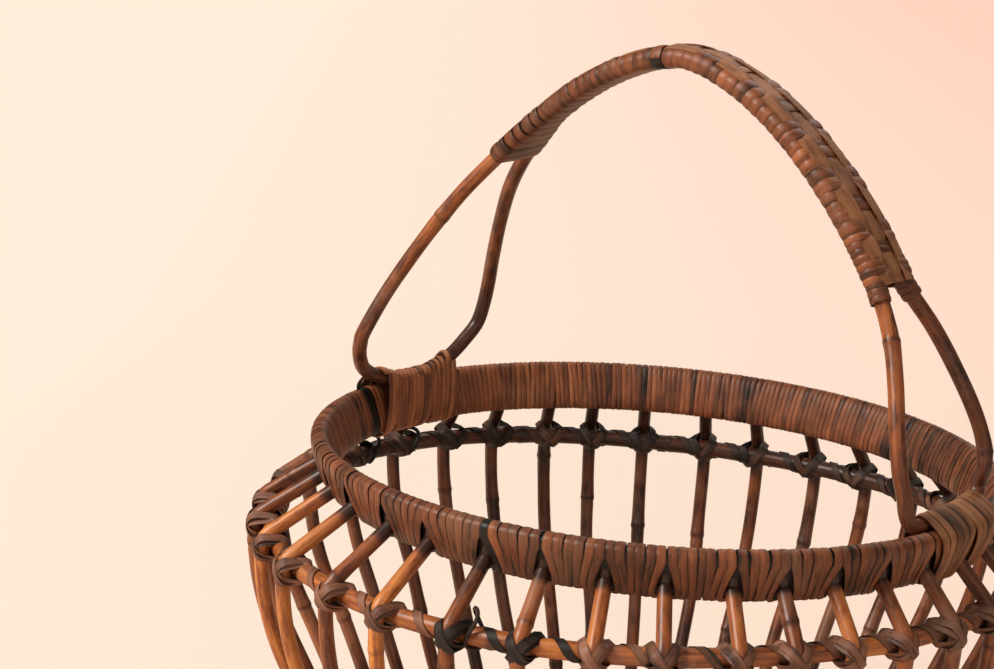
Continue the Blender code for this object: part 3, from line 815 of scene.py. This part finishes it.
def add_hoop_turn(shape, azimuth, start, tone):
    """A flat turn that runs on round the hoop beside a stake."""
    points, outwards = [], []
    for share in np.linspace(0.0, 1.0, run_points):
        at = azimuth + run_angle * share
        angle = start - full_turn * share
        outward = out_from_axis(at) * math.cos(angle) + upwards * math.sin(angle)
        points.append(hoop_centre(at) + outward * (hoop_rod_radius + run_gap))
        outwards.append(outward)
    add_strip(shape, points, outwards, lashing_width * run_width_share, lashing_cane, tone)


def add_loose_loop(shape, azimuth, height, reach, tone):
    """A thin loop of cane that stands off the hoop."""
    points = []
    for angle in ring_angles(loop_points):
        swing = out_from_axis(azimuth) * math.cos(angle) * (hoop_rod_radius + loop_thickness)
        twist = round_axis(azimuth) * loop_twist * math.sin(angle * 2)
        points.append(hoop_centre(azimuth) + swing + upwards * (math.sin(angle) * reach + height) + twist)
    shape.sweep(tube_rings(points, loop_thickness, True, thin_sides), tone, closed_path=True)


def make_lashings(finish):
    """The crossed canes that tie each stake to the hoop, and the turns that run on beside them."""
    shape = Shape()
    for index in range(stake_count):
        azimuth = stake_azimuth(index)
        tone = near_to_far(lashing_tones, azimuth) + chance.gauss(0.0, lashing_tone_spread)
        if index in dark_lashing_stakes:
            tone = dark_lashing_tone
        lift = lashing_lift
        for degrees, share in zip(lashing_degrees, lashing_width_shares):
            for side in (1, -1):
                spread = chance.uniform(-lashing_lean_spread, lashing_lean_spread)
                lean = side * math.radians(degrees + spread)
                width = lashing_width * share
                points, outwards = lashing_turn(azimuth, lean, lift, width)
                own = tone + chance.gauss(0, lashing_tone_spread)
                add_strip(shape, points, outwards, width, lashing_cane, own, closed=True)
                lift += lashing_layer
        run_tone = tone + run_tone_change + chance.gauss(0, run_tone_spread)
        run_start = -quarter_turn + chance.uniform(-run_start_spread, run_start_spread)
        add_hoop_turn(shape, azimuth + run_shift, run_start, run_tone)
    for degrees, height, reach, tone in loose_loops:
        add_loose_loop(shape, math.radians(degrees), height, reach, tone)
    shape.piece("hoop_lashings", finish, ["hoop_lashing"])


# The handle's rod

def arch_point(angle):
    """A point of the handle's arch in the XZ plane: angle 0 is the right foot, half a turn the left."""
    power = 2 / (right_roundness if angle < quarter_turn else left_roundness)
    across = math.copysign(abs(math.cos(angle)) ** power, math.cos(angle))
    share = math.sin(angle) ** power
    aside = handle_span * across + handle_lean * share ** 3
    return np.array((aside, 0.0, rim_height + handle_height * share))


def arch_angle(share, left):
    """The arch's angle at a share of its height."""
    angle = math.asin(share ** ((left_roundness if left else right_roundness) / 2))
    return math.pi - angle if left else angle


def wrap_stations(count):
    """Places along the wrapped top, left to right: the arch's point and each rod's distance to the side."""
    start = arch_angle(wrap_start_share, True)
    end = arch_angle(right_near_shares[0][0], False)
    sides = ((left_near_share, right_near_shares[0][1]), (left_far_share, right_far_shares[0][1]))
    stations = []
    for step in range(count + 1):
        share = step / count
        left = smooth((left_splay_share - share) / left_splay_share)
        right = smooth((share - 1 + right_splay_share) / right_splay_share)
        spreads = []
        for left_share, right_share in sides:
            spread = top_spread + left * (left_share * handle_span - top_spread)
            spreads.append(spread + right * (right_share * handle_span - top_spread))
        stations.append((arch_point(start + (end - start) * share), *spreads))
    return stations


def leg_points(shares, left, side):
    """The leg's points, from the top down."""
    points = []
    for height_share, spread_share in shares:
        point = arch_point(arch_angle(height_share, left))
        point[1] = side * spread_share * handle_span
        points.append(point)
    return points


def binding_azimuths(middle, turns, per_gap):
    """The azimuth of each turn's outer side, spread evenly between the stakes."""
    before, after = turns
    azimuths = []
    for start, end, count in ((middle, middle - 1, before), (middle, middle + 1, after)):
        first = stake_azimuth(start)
        gap = stake_azimuth(end) - first
        run = [first + gap * (turn + 0.5) / per_gap for turn in range(count)]
        azimuths += run[::-1] if end < start else run
    return azimuths


def bar_points(azimuths):
    """The right foot's bar, under its binding, and its rising ends, from the far side to the near one."""
    step = (azimuths[-1] - azimuths[0]) / (len(azimuths) - 1)
    first = azimuths[0] - step
    run = azimuths[-1] + step - first
    points = [rim_station(first + run * i / bar_steps, bar_across, bar_along) for i in range(bar_steps + 1)]
    lift = upwards * bar_end_lift
    for azimuth, end in ((first - step, 0), (first + run + step, len(points) + 1)):
        points.insert(end, rim_station(azimuth, bar_across, bar_along) + lift)
    return points[::-1]


def curve_through(points, steps):
    """A smooth curve through all but the first and last point, which only steer it."""
    result = []
    for before, start, end, after in zip(points, points[1:], points[2:], points[3:]):
        for i in range(steps):
            t = i / steps
            result.append(
                0.5 * (2 * start + (end - before) * t
                       + (2 * before - 5 * start + 4 * end - after) * t ** 2
                       + (3 * start - before - 3 * end + after) * t ** 3)
            )
    result.append(points[-2])
    return result


def handle_route():
    """The handle rod's closed centre line."""
    stations = wrap_stations(route_stations)
    near = [point - to_far_side * spread for point, spread, _ in stations]
    far = [point + to_far_side * spread for point, _, spread in stations]
    left_foot = leg_points(left_near_shares, True, -1)
    left_foot += [
        rim_station(math.radians(degrees), bar_across, bar_along) + upwards * lift
        for degrees, lift in foot_lifts[-2:0:-1]
    ]
    left_foot += leg_points(left_far_shares, True, 1)[::-1]
    right_foot = leg_points(right_far_shares[1:], False, 1) + bar_points(binding_azimuths(*right_binding))
    right_foot += leg_points(right_near_shares[1:], False, -1)[::-1]
    route = near[::-1] + left_foot + far + right_foot
    return curve_through([route[-1]] + route + route[:2], curve_steps)[:-1]


def handle_tone(point):
    """The handle's rod is paler on the near side, and darker at its feet."""
    foot = smooth((rim_height + foot_tone_height - point[2]) / foot_tone_run)
    foot *= foot_tone_shares[0] if point[0] < 0 else foot_tone_shares[1]
    far = smooth((point[1] + far_tone_offset) / far_tone_run)
    return handle_tone_top - foot_tone_depth * foot - far_tone_depth * far


def make_handle_rod(finish):
    """The handle's rod as one closed loop."""
    make_rod(("handle_loop", "handle_rod"), finish, handle_route(), handle_rod, handle_tone)


# The handle's wrap and weave

def arch_frames(count):
    """The wrap's stations with the arch's run and outward direction at each."""
    stations = wrap_stations(count)
    directions = path_directions([point for point, _, _ in stations], False)
    frames = []
    for (point, near, far), direction in zip(stations, directions):
        up = unit(np.cross(direction, to_far_side))
        if up.dot(point - upwards * rim_height) < 0:
            up = -up
        frames.append((point, direction, up, near, far))
    return frames


def weaver_over(turn, weaver):
    """Whether a weaver lies over a turn of the handle's wrap, from 0 to 1, eased between blocks."""
    phase = (turn + weave_cycle / 2 * (weaver % 2)) % weave_cycle
    return smooth(phase / weave_ease) * (1 - smooth((phase - weave_over) / weave_ease))


def local_weaver_spacing(near, far):
    """The weavers' spacing where the two rods stand this far to the sides."""
    return min(weaver_spacing, (near + far + weaver_margin) / weaver_count)


def wrap_ring(frame_here, reach, count, turn=None):
    """The outline round both rods at one place of the handle: its points and the way each looks."""
    point, _, up, near, far = frame_here
    half, centre_side = (far + near) / 2, (far - near) / 2
    spacing = local_weaver_spacing(near, far)
    points, outwards = [], []
    for angle in ring_angles(count, -quarter_turn):
        c, s = math.cos(angle), math.sin(angle)
        x = half * math.copysign(min(1.0, abs(c) * ring_flank), c) + reach * c
        y = reach * math.copysign(abs(s) ** ring_power, s)
        if s > 0 and turn is not None:
            for weaver in range(weaver_count):
                aside = (x - (weaver - 1) * spacing) / (spacing * weave_raise_share)
                y += (1 - weaver_over(turn, weaver)) * weave_raise * math.exp(-aside ** 4)
        points.append(point + to_far_side * (x + centre_side) + up * y)
        outwards.append(unit(to_far_side * (c if abs(c) > ring_side_start else c * ring_top_share) + up * s))
    return np.array(points), outwards


def add_collar(shape, path):
    """A few turns of cane round one rod, along a short path."""
    path = resampled(path, handle_end_pitch)[:collar_turns + 1]
    for start, end in zip(path, path[1:]):
        direction = unit(end - start)
        side = unit(np.cross(direction, off_upright))
        other = np.cross(direction, side)
        outwards = [side * math.cos(angle) + other * math.sin(angle) for angle in ring_angles(collar_points)]
        middle = (start + end) / 2
        reaches = [handle_inner + chance.uniform(0.0, collar_lift) for _ in outwards]
        points = [middle + outward * reach for outward, reach in zip(outwards, reaches)]
        tone = collar_tone + chance.gauss(0, collar_tone_spread)
        add_strip(shape, points, outwards, collar_width, collar_cane, tone, closed=True)


def handle_turn_places(length):
    """Where along the handle's top each turn lies, and how wide it is: the last ones are narrow."""
    places = []
    at = 0.0
    while True:
        pitch = handle_turn_pitch if at < length * handle_end_share else handle_end_pitch
        pitch *= chance.uniform(*handle_pitch_shares)
        if at + pitch * handle_last_share > length:
            return places
        places.append((at + pitch / 2, pitch))
        at += pitch


def add_handle_turn(shape, here, turn, pitch, share):
    """One turn round both rods of the handle; the notch turn is dark on its sides and below."""
    tone = chance.gauss(handle_turn_tone + handle_turn_rise * share, handle_turn_spread)
    swell = notch_swell if turn == notch_turn else 0.0
    reach = handle_inner + swell + chance.uniform(0.0, handle_turn_lift)
    points, outwards = wrap_ring(here, reach, handle_turn_points, turn)
    if turn == notch_turn:
        tone = np.where([outward.dot(here[2]) < notch_reach for outward in outwards], black_tone, tone)
    across = (points - here[0]).dot(to_far_side)
    points = points + np.outer(across * chance.gauss(handle_slant, handle_slant_spread), here[1])
    add_strip(shape, points, outwards, pitch * handle_turn_width_share, handle_cane, tone, closed=True)


def make_weaver(weaver, frames, turn_at, finish):
    """One of the canes woven along the top of the handle."""
    points, outwards, widths = [], [], []
    for (point, _, up, near, far), turn in zip(frames, turn_at):
        over = weaver_over(turn, weaver)
        spacing = local_weaver_spacing(near, far)
        wander = weaver_wander * math.sin(turn * weaver_wander_steps[0] + weaver * weaver_wander_steps[1])
        across = (far - near) / 2 + (weaver - 1) * spacing + wander
        height = handle_inner + weaver_lift + over * weaver_rise
        points.append(point + to_far_side * across + up * height)
        outwards.append(unit(up + to_far_side * (weaver - 1) * weaver_tilt))
        widths.append(spacing * (weaver_low_share + (1 - weaver_low_share) * over))
    shape = Shape()
    add_strip(shape, points, outwards, widths, weaver_cane, weaver_tone + weaver_tone_step * weaver)
    shape.piece(f"handle_weave_{weaver + 1}", finish, [f"handle_weaver_{weaver + 1}"])


def make_handle_wrap(finish, weaver_finish):
    """The turns round both rods of the handle's top over a sleeve painted dark as the shade between them,
    their collars and the weavers.
    """
    frames = arch_frames(handle_frames)
    along = path_length([entry[0] for entry in frames])
    places = handle_turn_places(along[-1])
    wrap = Shape()
    reach = handle_rod_radius + sleeve_gap
    inner = frames[sleeve_step:-sleeve_step:sleeve_step]
    wrap.sweep([wrap_ring(entry, reach, sleeve_points)[0] for entry in inner], shade_sleeve_tone)
    for turn, (at, pitch) in enumerate(places):
        here = frames[int(np.argmin(np.abs(along - at)))]
        add_handle_turn(wrap, here, turn, pitch, at / along[-1])
    for shares, side in ((right_near_shares, -1), (right_far_shares, 1)):
        top, below = leg_points(shares[:2], False, side)
        add_collar(wrap, [top + unit(top - below) * collar_start, below])
    wrap.piece("handle_winding", finish, ["handle_wrap"])
    turn_at = np.interp(along, [at for at, _ in places], np.arange(len(places)))
    for weaver in range(weaver_count):
        make_weaver(weaver, frames, turn_at, weaver_finish)


# The bindings of the handle's feet

def bar_lift(azimuth):
    """How far the left foot's rod has risen above its bar at an azimuth; the right one lies level."""
    degrees, lifts = zip(*foot_lifts)
    return float(np.interp(math.degrees(azimuth), degrees, lifts, right=0.0, left=0.0))


def binding_outline(lift):
    """A turn's inner outline round the rim and the handle's bar, and the outward direction at each point."""
    across, along = bar_across - lift * math.sin(rim_lean), bar_along + lift * math.cos(rim_lean)
    normals = ring_angles(binding_points, math.pi)
    x, y = np.cos(normals), np.sin(normals)
    rim_reach = sleeve_outer + np.abs(y) * rod_spacing / 2
    reach = evened(np.maximum(rim_reach, handle_rod_radius + x * across + y * along) + fit_gap)
    return [(a * r - b * d, b * r + a * d, a, b) for a, b, r, d in zip(x, y, reach, rate_round(reach))]


def add_hanging_canes(shape):
    """Two thin canes that hang from the left foot's rod to the rim."""
    end = rim_station(hanging_end_azimuth, 0.0, hanging_end_along)
    for shift, bow in hanging_canes:
        start = hanging_start + to_far_side * shift
        shares = np.linspace(0.0, 1.0, hanging_points)
        hang = [start + (end - start) * t - to_far_side * bow * math.sin(math.pi * t) for t in shares]
        shape.sweep(tube_rings(hang, hanging_radius, sides=thin_sides), hanging_tone)


def make_binding(name, node, middle, turns, per_gap, tone_range, finish):
    """A foot's binding: flat cane wound round the rim and the handle's bar, past the stakes."""
    azimuths = binding_azimuths(middle, turns, per_gap)
    clearance = (stake_radius + fit_gap / 2) / (rim_radius - rim_oval)
    padded = [2 * azimuths[0] - azimuths[1], *azimuths, 2 * azimuths[-1] - azimuths[-2]]
    points, outwards, widths, tones = [], [], [], []
    for before, azimuth, after in zip(padded, azimuths, padded[2:]):
        index = stake_before(azimuth)
        gap_middle = (stake_azimuth(index) + stake_azimuth(index + 1)) / 2
        half_gap = (stake_azimuth(index + 1) - stake_azimuth(index)) / 2
        squeeze = (half_gap - clearance) / half_gap
        aside = (azimuth - gap_middle) * (squeeze - 1)
        width = abs(after - before) / 2 * rim_radius_at(azimuth) * chance.uniform(*binding_width_shares)
        tone = np.clip(chance.gauss(*tone_range), *binding_tone_limits)
        outline = binding_outline(bar_lift(azimuth))
        proud = chance.uniform(0.0, binding_proud)
        run = path_length([entry[:2] for entry in outline + outline[:1]])
        run = run / run[-1]
        outer = run[binding_points // 2] - binding_outer_shift
        for j, (across, along, a, b) in enumerate(outline):
            share = (j + 0.5) / binding_points
            neighbour = before if share < 0.5 else after
            drift = azimuth + (neighbour - azimuth) * abs(share - 0.5)
            weight = smooth((squeeze_share - abs(run[j] - outer)) / squeeze_ease)
            at = drift + weight * aside
            outward = rim_outward(at, a, b)
            points.append(rim_station(at, across, along) + outward * proud)
            outwards.append(outward)
            widths.append(width * (1 - weight * (1 - squeeze)))
            tones.append(tone)
    shape = Shape()
    add_strip(shape, points, outwards, widths, binding_cane, tones)
    if node == "binding_left":
        add_hanging_canes(shape)
    shape.piece(name, finish, [node])


# The board

def make_board(finish):
    """The base board, with a rounded edge."""
    margin = stake_radius / math.cos(foot_lean) + board_edge - board_rounding
    profile = [(-board_face_inset, 0.0)]
    for middle, start in ((board_rounding, -quarter_turn), (board_thickness - board_rounding, 0.0)):
        for i in range(board_rounding_steps + 1):
            angle = start + quarter_turn * i / board_rounding_steps
            beyond = margin + board_rounding * math.cos(angle)
            profile.append((beyond, middle + board_rounding * math.sin(angle)))
    profile.append((-board_face_inset, board_thickness))
    rings = []
    feet = [(azimuth, foot_at(azimuth, board_thickness)) for azimuth in ring_angles(board_steps)]
    for beyond, height in profile:
        rings.append([place(azimuth, foot + beyond, height) for azimuth, foot in feet])
    shape = Shape()
    shape.sweep(rings, board_tone)
    shape.piece("board", finish, ["base_board"])


# Materials

class Nodes:
    """The shader nodes of a material or a world, added one by one."""

    def __init__(self, owner):
        owner.use_nodes = True
        self.tree = owner.node_tree

    def fill(self, made, inputs):
        """Gives each named input its value, or links it to another node's output."""
        for name, value in inputs.items():
            if isinstance(value, bpy.types.NodeSocket):
                self.tree.links.new(value, made.inputs[name])
            else:
                made.inputs[name].default_value = value

    def add(self, kind, inputs=None, **settings):
        """Adds a node with its settings and inputs, and gives its outputs."""
        made = self.tree.nodes.new("ShaderNode" + kind)
        for name, value in settings.items():
            setattr(made, name, value)
        self.fill(made, inputs or {})
        return made.outputs

    def math(self, operation, *values):
        """One arithmetic step with values or outputs."""
        return self.add("Math", dict(enumerate(values)), operation=operation)["Value"]

    def noise(self, vector, scale, detail, roughness=0.5, distortion=0.0, stretch=None):
        """A noise texture's value; stretch scales each axis by itself first."""
        if stretch:
            vector = self.add("Mapping", {"Vector": vector, "Scale": stretch})["Vector"]
        inputs = {"Scale": scale, "Detail": detail, "Roughness": roughness, "Distortion": distortion}
        return self.add("TexNoise", {"Vector": vector, **inputs})["Fac"]

    def map_range(self, value, start, end, new_start=0.0, new_end=1.0, **settings):
        """A value carried from one range to another."""
        inputs = {"From Min": start, "From Max": end, "To Min": new_start, "To Max": new_end}
        return self.add("MapRange", {"Value": value, **inputs}, **settings)["Result"]

    def ramp(self, share, stops):
        """A colour from a share and the colours at its stops."""
        made = self.tree.nodes.new("ShaderNodeValToRGB")
        elements = made.color_ramp.elements
        while len(elements) < len(stops):
            elements.new(0.5)
        for element, (position, colour) in zip(elements, stops):
            element.position = position
            element.color = (*colour, 1.0)
        self.fill(made, {"Fac": share})
        return made.outputs["Color"]

    def bump(self, height, strength, distance):
        """A normal with relief."""
        return self.add("Bump", {"Strength": strength, "Distance": distance, "Height": height})["Normal"]


def new_material(name):
    """A material, its nodes and its shader."""
    made = bpy.data.materials.new(name)
    nodes = Nodes(made)
    return made, nodes, nodes.tree.nodes["Principled BSDF"]


def rattan_material(name, stops, roughness, streak_scale, bump, coat, worn):
    """Varnished rattan or cane: its tone picked per strand, with fine fibres along it and worn patches."""
    made, nodes, shader = new_material(name)
    fibre = nodes.add("Attribute", attribute_name="fibre")["Vector"]
    tone = nodes.add("Attribute", attribute_name="tone")["Fac"]
    position = nodes.add("TexCoord")["Object"]
    streaks = nodes.noise(fibre, 1.0, 4.0, 0.6, stretch=(*streak_scale, 1.0))
    spots = nodes.noise(fibre, 1.0, 4.0, 0.62, stretch=(75.0, 330.0, 1.0))
    blotches = nodes.noise(position, 70.0, 3.0)
    patches = nodes.noise(position, 38.0, 5.0, 0.65)
    level = nodes.math("MULTIPLY_ADD", streaks, 0.55, tone)
    level = nodes.math("MULTIPLY_ADD", blotches, 0.55, level)
    spotting = nodes.map_range(spots, 0.42, 0.72, 0.0, -0.42, interpolation_type="SMOOTHSTEP")
    level = nodes.math("ADD", level, spotting)
    wear_share, worn_colour = worn
    wear = nodes.map_range(patches, 0.52, 0.66, 0.0, wear_share)
    wear = nodes.math("MULTIPLY", wear, nodes.map_range(tone, -0.15, 0.35))
    clean = nodes.ramp(nodes.map_range(level, 0.35, 1.5), stops)
    blend = nodes.add("Mix", {"Factor": wear, "A": clean, "B": (*worn_colour, 1.0)}, data_type="RGBA")
    nodes.fill(shader, {
        "Base Color": blend["Result"], "Roughness": nodes.map_range(streaks, 0.0, 1.0, *roughness),
        "Normal": nodes.bump(streaks, bump, 0.0003), "Specular IOR Level": 0.35,
        "Coat Weight": coat, "Coat Roughness": 0.28,
    })
    return made


def board_material():
    """Stained board with straight grain."""
    made, nodes, shader = new_material("stained_board")
    position = nodes.add("TexCoord")["Object"]
    grain = nodes.noise(position, 1.6, 6.0, distortion=0.6, stretch=(6.0, 90.0, 90.0))
    colour = nodes.ramp(grain, board_stops)
    nodes.fill(shader, {"Base Color": colour, "Roughness": 0.5, "Normal": nodes.bump(grain, 0.25, 0.0004)})
    return made


# Studio

def make_floor():
    """A plain pale floor, cream at the left, peach at the right, with a shadow; clear from below."""
    mesh = bpy.data.meshes.new("floor")
    signs = ((-1, -1), (1, -1), (1, 1), (-1, 1))
    corners = [(x * floor_reach, y * floor_reach, floor_height) for x, y in signs]
    mesh.from_pydata(corners, [], [(0, 1, 2, 3)])
    floor = new_object("floor", mesh)
    made, nodes, shader = new_material("pale_ground")
    nodes.fill(shader, {"Base Color": (0.90, 0.72, 0.58, 1.0), "Roughness": 0.9})
    position = nodes.add("TexCoord")["Object"]
    across = nodes.add("VectorMath", {0: position, 1: (0.75, 0.66, 0.0)}, operation="DOT_PRODUCT")["Value"]
    colour = nodes.ramp(nodes.map_range(across, -0.35, 0.75), floor_stops)
    glow = nodes.add("Emission", {"Color": colour})["Emission"]
    distance = nodes.add("VectorMath", {0: position}, operation="LENGTH")["Value"]
    fade = nodes.map_range(distance, 0.15, 1.0, 0.82, 1.0, interpolation_type="SMOOTHSTEP")
    rays = nodes.add("LightPath")
    seen = nodes.math("MULTIPLY", rays["Is Camera Ray"], fade)
    ground = nodes.add("MixShader", {"Fac": seen, 1: shader.outputs["BSDF"], 2: glow})["Shader"]
    touching = nodes.math("LESS_THAN", rays["Ray Length"], board_clear_reach)
    clear_share = nodes.math("MAXIMUM", nodes.add("NewGeometry")["Backfacing"], touching)
    clear = nodes.add("BsdfTransparent")["BSDF"]
    surface = nodes.add("MixShader", {"Fac": clear_share, 1: ground, 2: clear})["Shader"]
    nodes.fill(nodes.tree.nodes["Material Output"], {"Surface": surface})
    mesh.materials.append(made)


def make_light(name, place_at, size, power, colour):
    """A soft square lamp that looks at the basket."""
    data = bpy.data.lights.new(name, "AREA")
    data.size = size
    data.energy = power
    data.color = colour
    lamp = new_object(name, data)
    lamp.location = place_at
    lamp.rotation_euler = (lamp_aim - Vector(place_at)).to_track_quat("-Z", "Y").to_euler()


def make_world():
    """A dim world, pale where the camera sees it."""
    world = bpy.data.worlds.new("studio")
    nodes = Nodes(world)
    seen = nodes.add("LightPath")["Is Camera Ray"]
    strength = nodes.math("MULTIPLY_ADD", seen, 1 - world_strength, world_strength)
    nodes.fill(nodes.tree.nodes["Background"], {"Color": (1.0, 0.86, 0.72, 1.0), "Strength": strength})
    bpy.context.scene.world = world


def make_camera():
    """The camera of the photograph's view."""
    data = bpy.data.cameras.new("view")
    data.sensor_width = sensor_width
    data.lens = camera_lens
    data.clip_start = nearest_seen
    camera = new_object("view", data)
    across = camera_forward.cross(camera_up).normalized()
    turn = Matrix((across, camera_up.normalized(), -camera_forward.normalized())).transposed()
    camera.matrix_world = Matrix.Translation(camera_place) @ turn.to_4x4()
    bpy.context.scene.camera = camera
    bpy.context.scene.view_settings.view_transform = "Standard"


# The studio's sizes: name, place, size, power and colour of each lamp
lamps = (
    ("key", (-0.75, -1.35, 1.55), 0.8, 50.0, (1.0, 0.93, 0.84)),
    ("fill", (1.5, -0.9, 0.9), 1.6, 6.0, (1.0, 0.95, 0.90)),
    ("back", (-0.4, 1.6, 1.5), 1.2, 10.0, (1.0, 0.95, 0.88)),
)
lamp_aim = Vector((0.0, 0.0, 0.15))
world_strength = 0.22
floor_reach = 6.0
floor_height = -0.0004
board_clear_reach = 0.003

# Colours from dark to pale, each at its place on the scale of tones
floor_stops = ((0.0, (1.0, 0.855, 0.70)), (1.0, (1.0, 0.655, 0.52)))
board_stops = ((0.3, (0.10, 0.042, 0.020)), (0.75, (0.27, 0.125, 0.058)))
stake_stops = (
    (0.0, (0.030, 0.010, 0.006)), (0.35, (0.120, 0.033, 0.012)),
    (0.65, (0.330, 0.095, 0.026)), (1.0, (0.66, 0.24, 0.055)),
)
cane_stops = (
    (0.0, (0.008, 0.004, 0.003)), (0.35, (0.115, 0.036, 0.015)),
    (0.65, (0.240, 0.073, 0.028)), (1.0, (0.43, 0.155, 0.058)),
)
weaver_stops = (
    (0.0, (0.024, 0.011, 0.006)), (0.35, (0.140, 0.052, 0.022)),
    (0.65, (0.280, 0.112, 0.046)), (1.0, (0.44, 0.200, 0.085)),
)
# The rim rods' colours, darkened as painted shade inside the wrap
dark_stops = (
    (0.0, (0.006, 0.004, 0.003)), (0.3, (0.030, 0.012, 0.008)),
    (0.65, (0.130, 0.048, 0.025)), (1.0, (0.30, 0.125, 0.065)),
)
lashing_stops = (
    (0.0, (0.006, 0.0045, 0.004)), (0.3, (0.026, 0.014, 0.010)),
    (0.65, (0.155, 0.062, 0.036)), (1.0, (0.31, 0.145, 0.092)),
)
worn_rod = (0.45, (0.33, 0.165, 0.105))
worn_cane = (0.35, (0.20, 0.115, 0.070))
rod_fibres, cane_fibres = (22.0, 700.0), (40.0, 1300.0)

rods = rattan_material("varnished_rattan", stake_stops, (0.30, 0.5), rod_fibres, 0.25, 0.12, worn_rod)
canes = rattan_material("varnished_cane", cane_stops, (0.38, 0.58), cane_fibres, 0.4, 0.05, worn_cane)
weavers = rattan_material("olive_cane", weaver_stops, (0.48, 0.66), cane_fibres, 0.5, 0.0, worn_cane)
dark_canes = rattan_material("dark_cane", dark_stops, (0.34, 0.55), cane_fibres, 0.4, 0.08, worn_cane)
lashers = rattan_material("lashing_cane", lashing_stops, (0.48, 0.68), cane_fibres, 0.4, 0.0, worn_cane)

# Each binding's name, node, middle stake, turns to both sides, turns to a gap, tones and finish
bindings = (
    ("foot_binding_left", "binding_left", 17, (6, 12), 9, (0.70, 0.18), canes),
    ("foot_binding_right", "binding_right", *right_binding, (0.42, 0.14), weavers),
)

make_world()
make_camera()
for lamp in lamps:
    make_light(*lamp)
make_floor()
make_stakes(rods)
make_rim_rods(dark_canes)
make_rim_wrap(canes)
make_hoop(rods)
make_lashings(lashers)
make_handle_rod(rods)
make_handle_wrap(canes, weavers)
for binding in bindings:
    make_binding(*binding)
make_board(board_material())
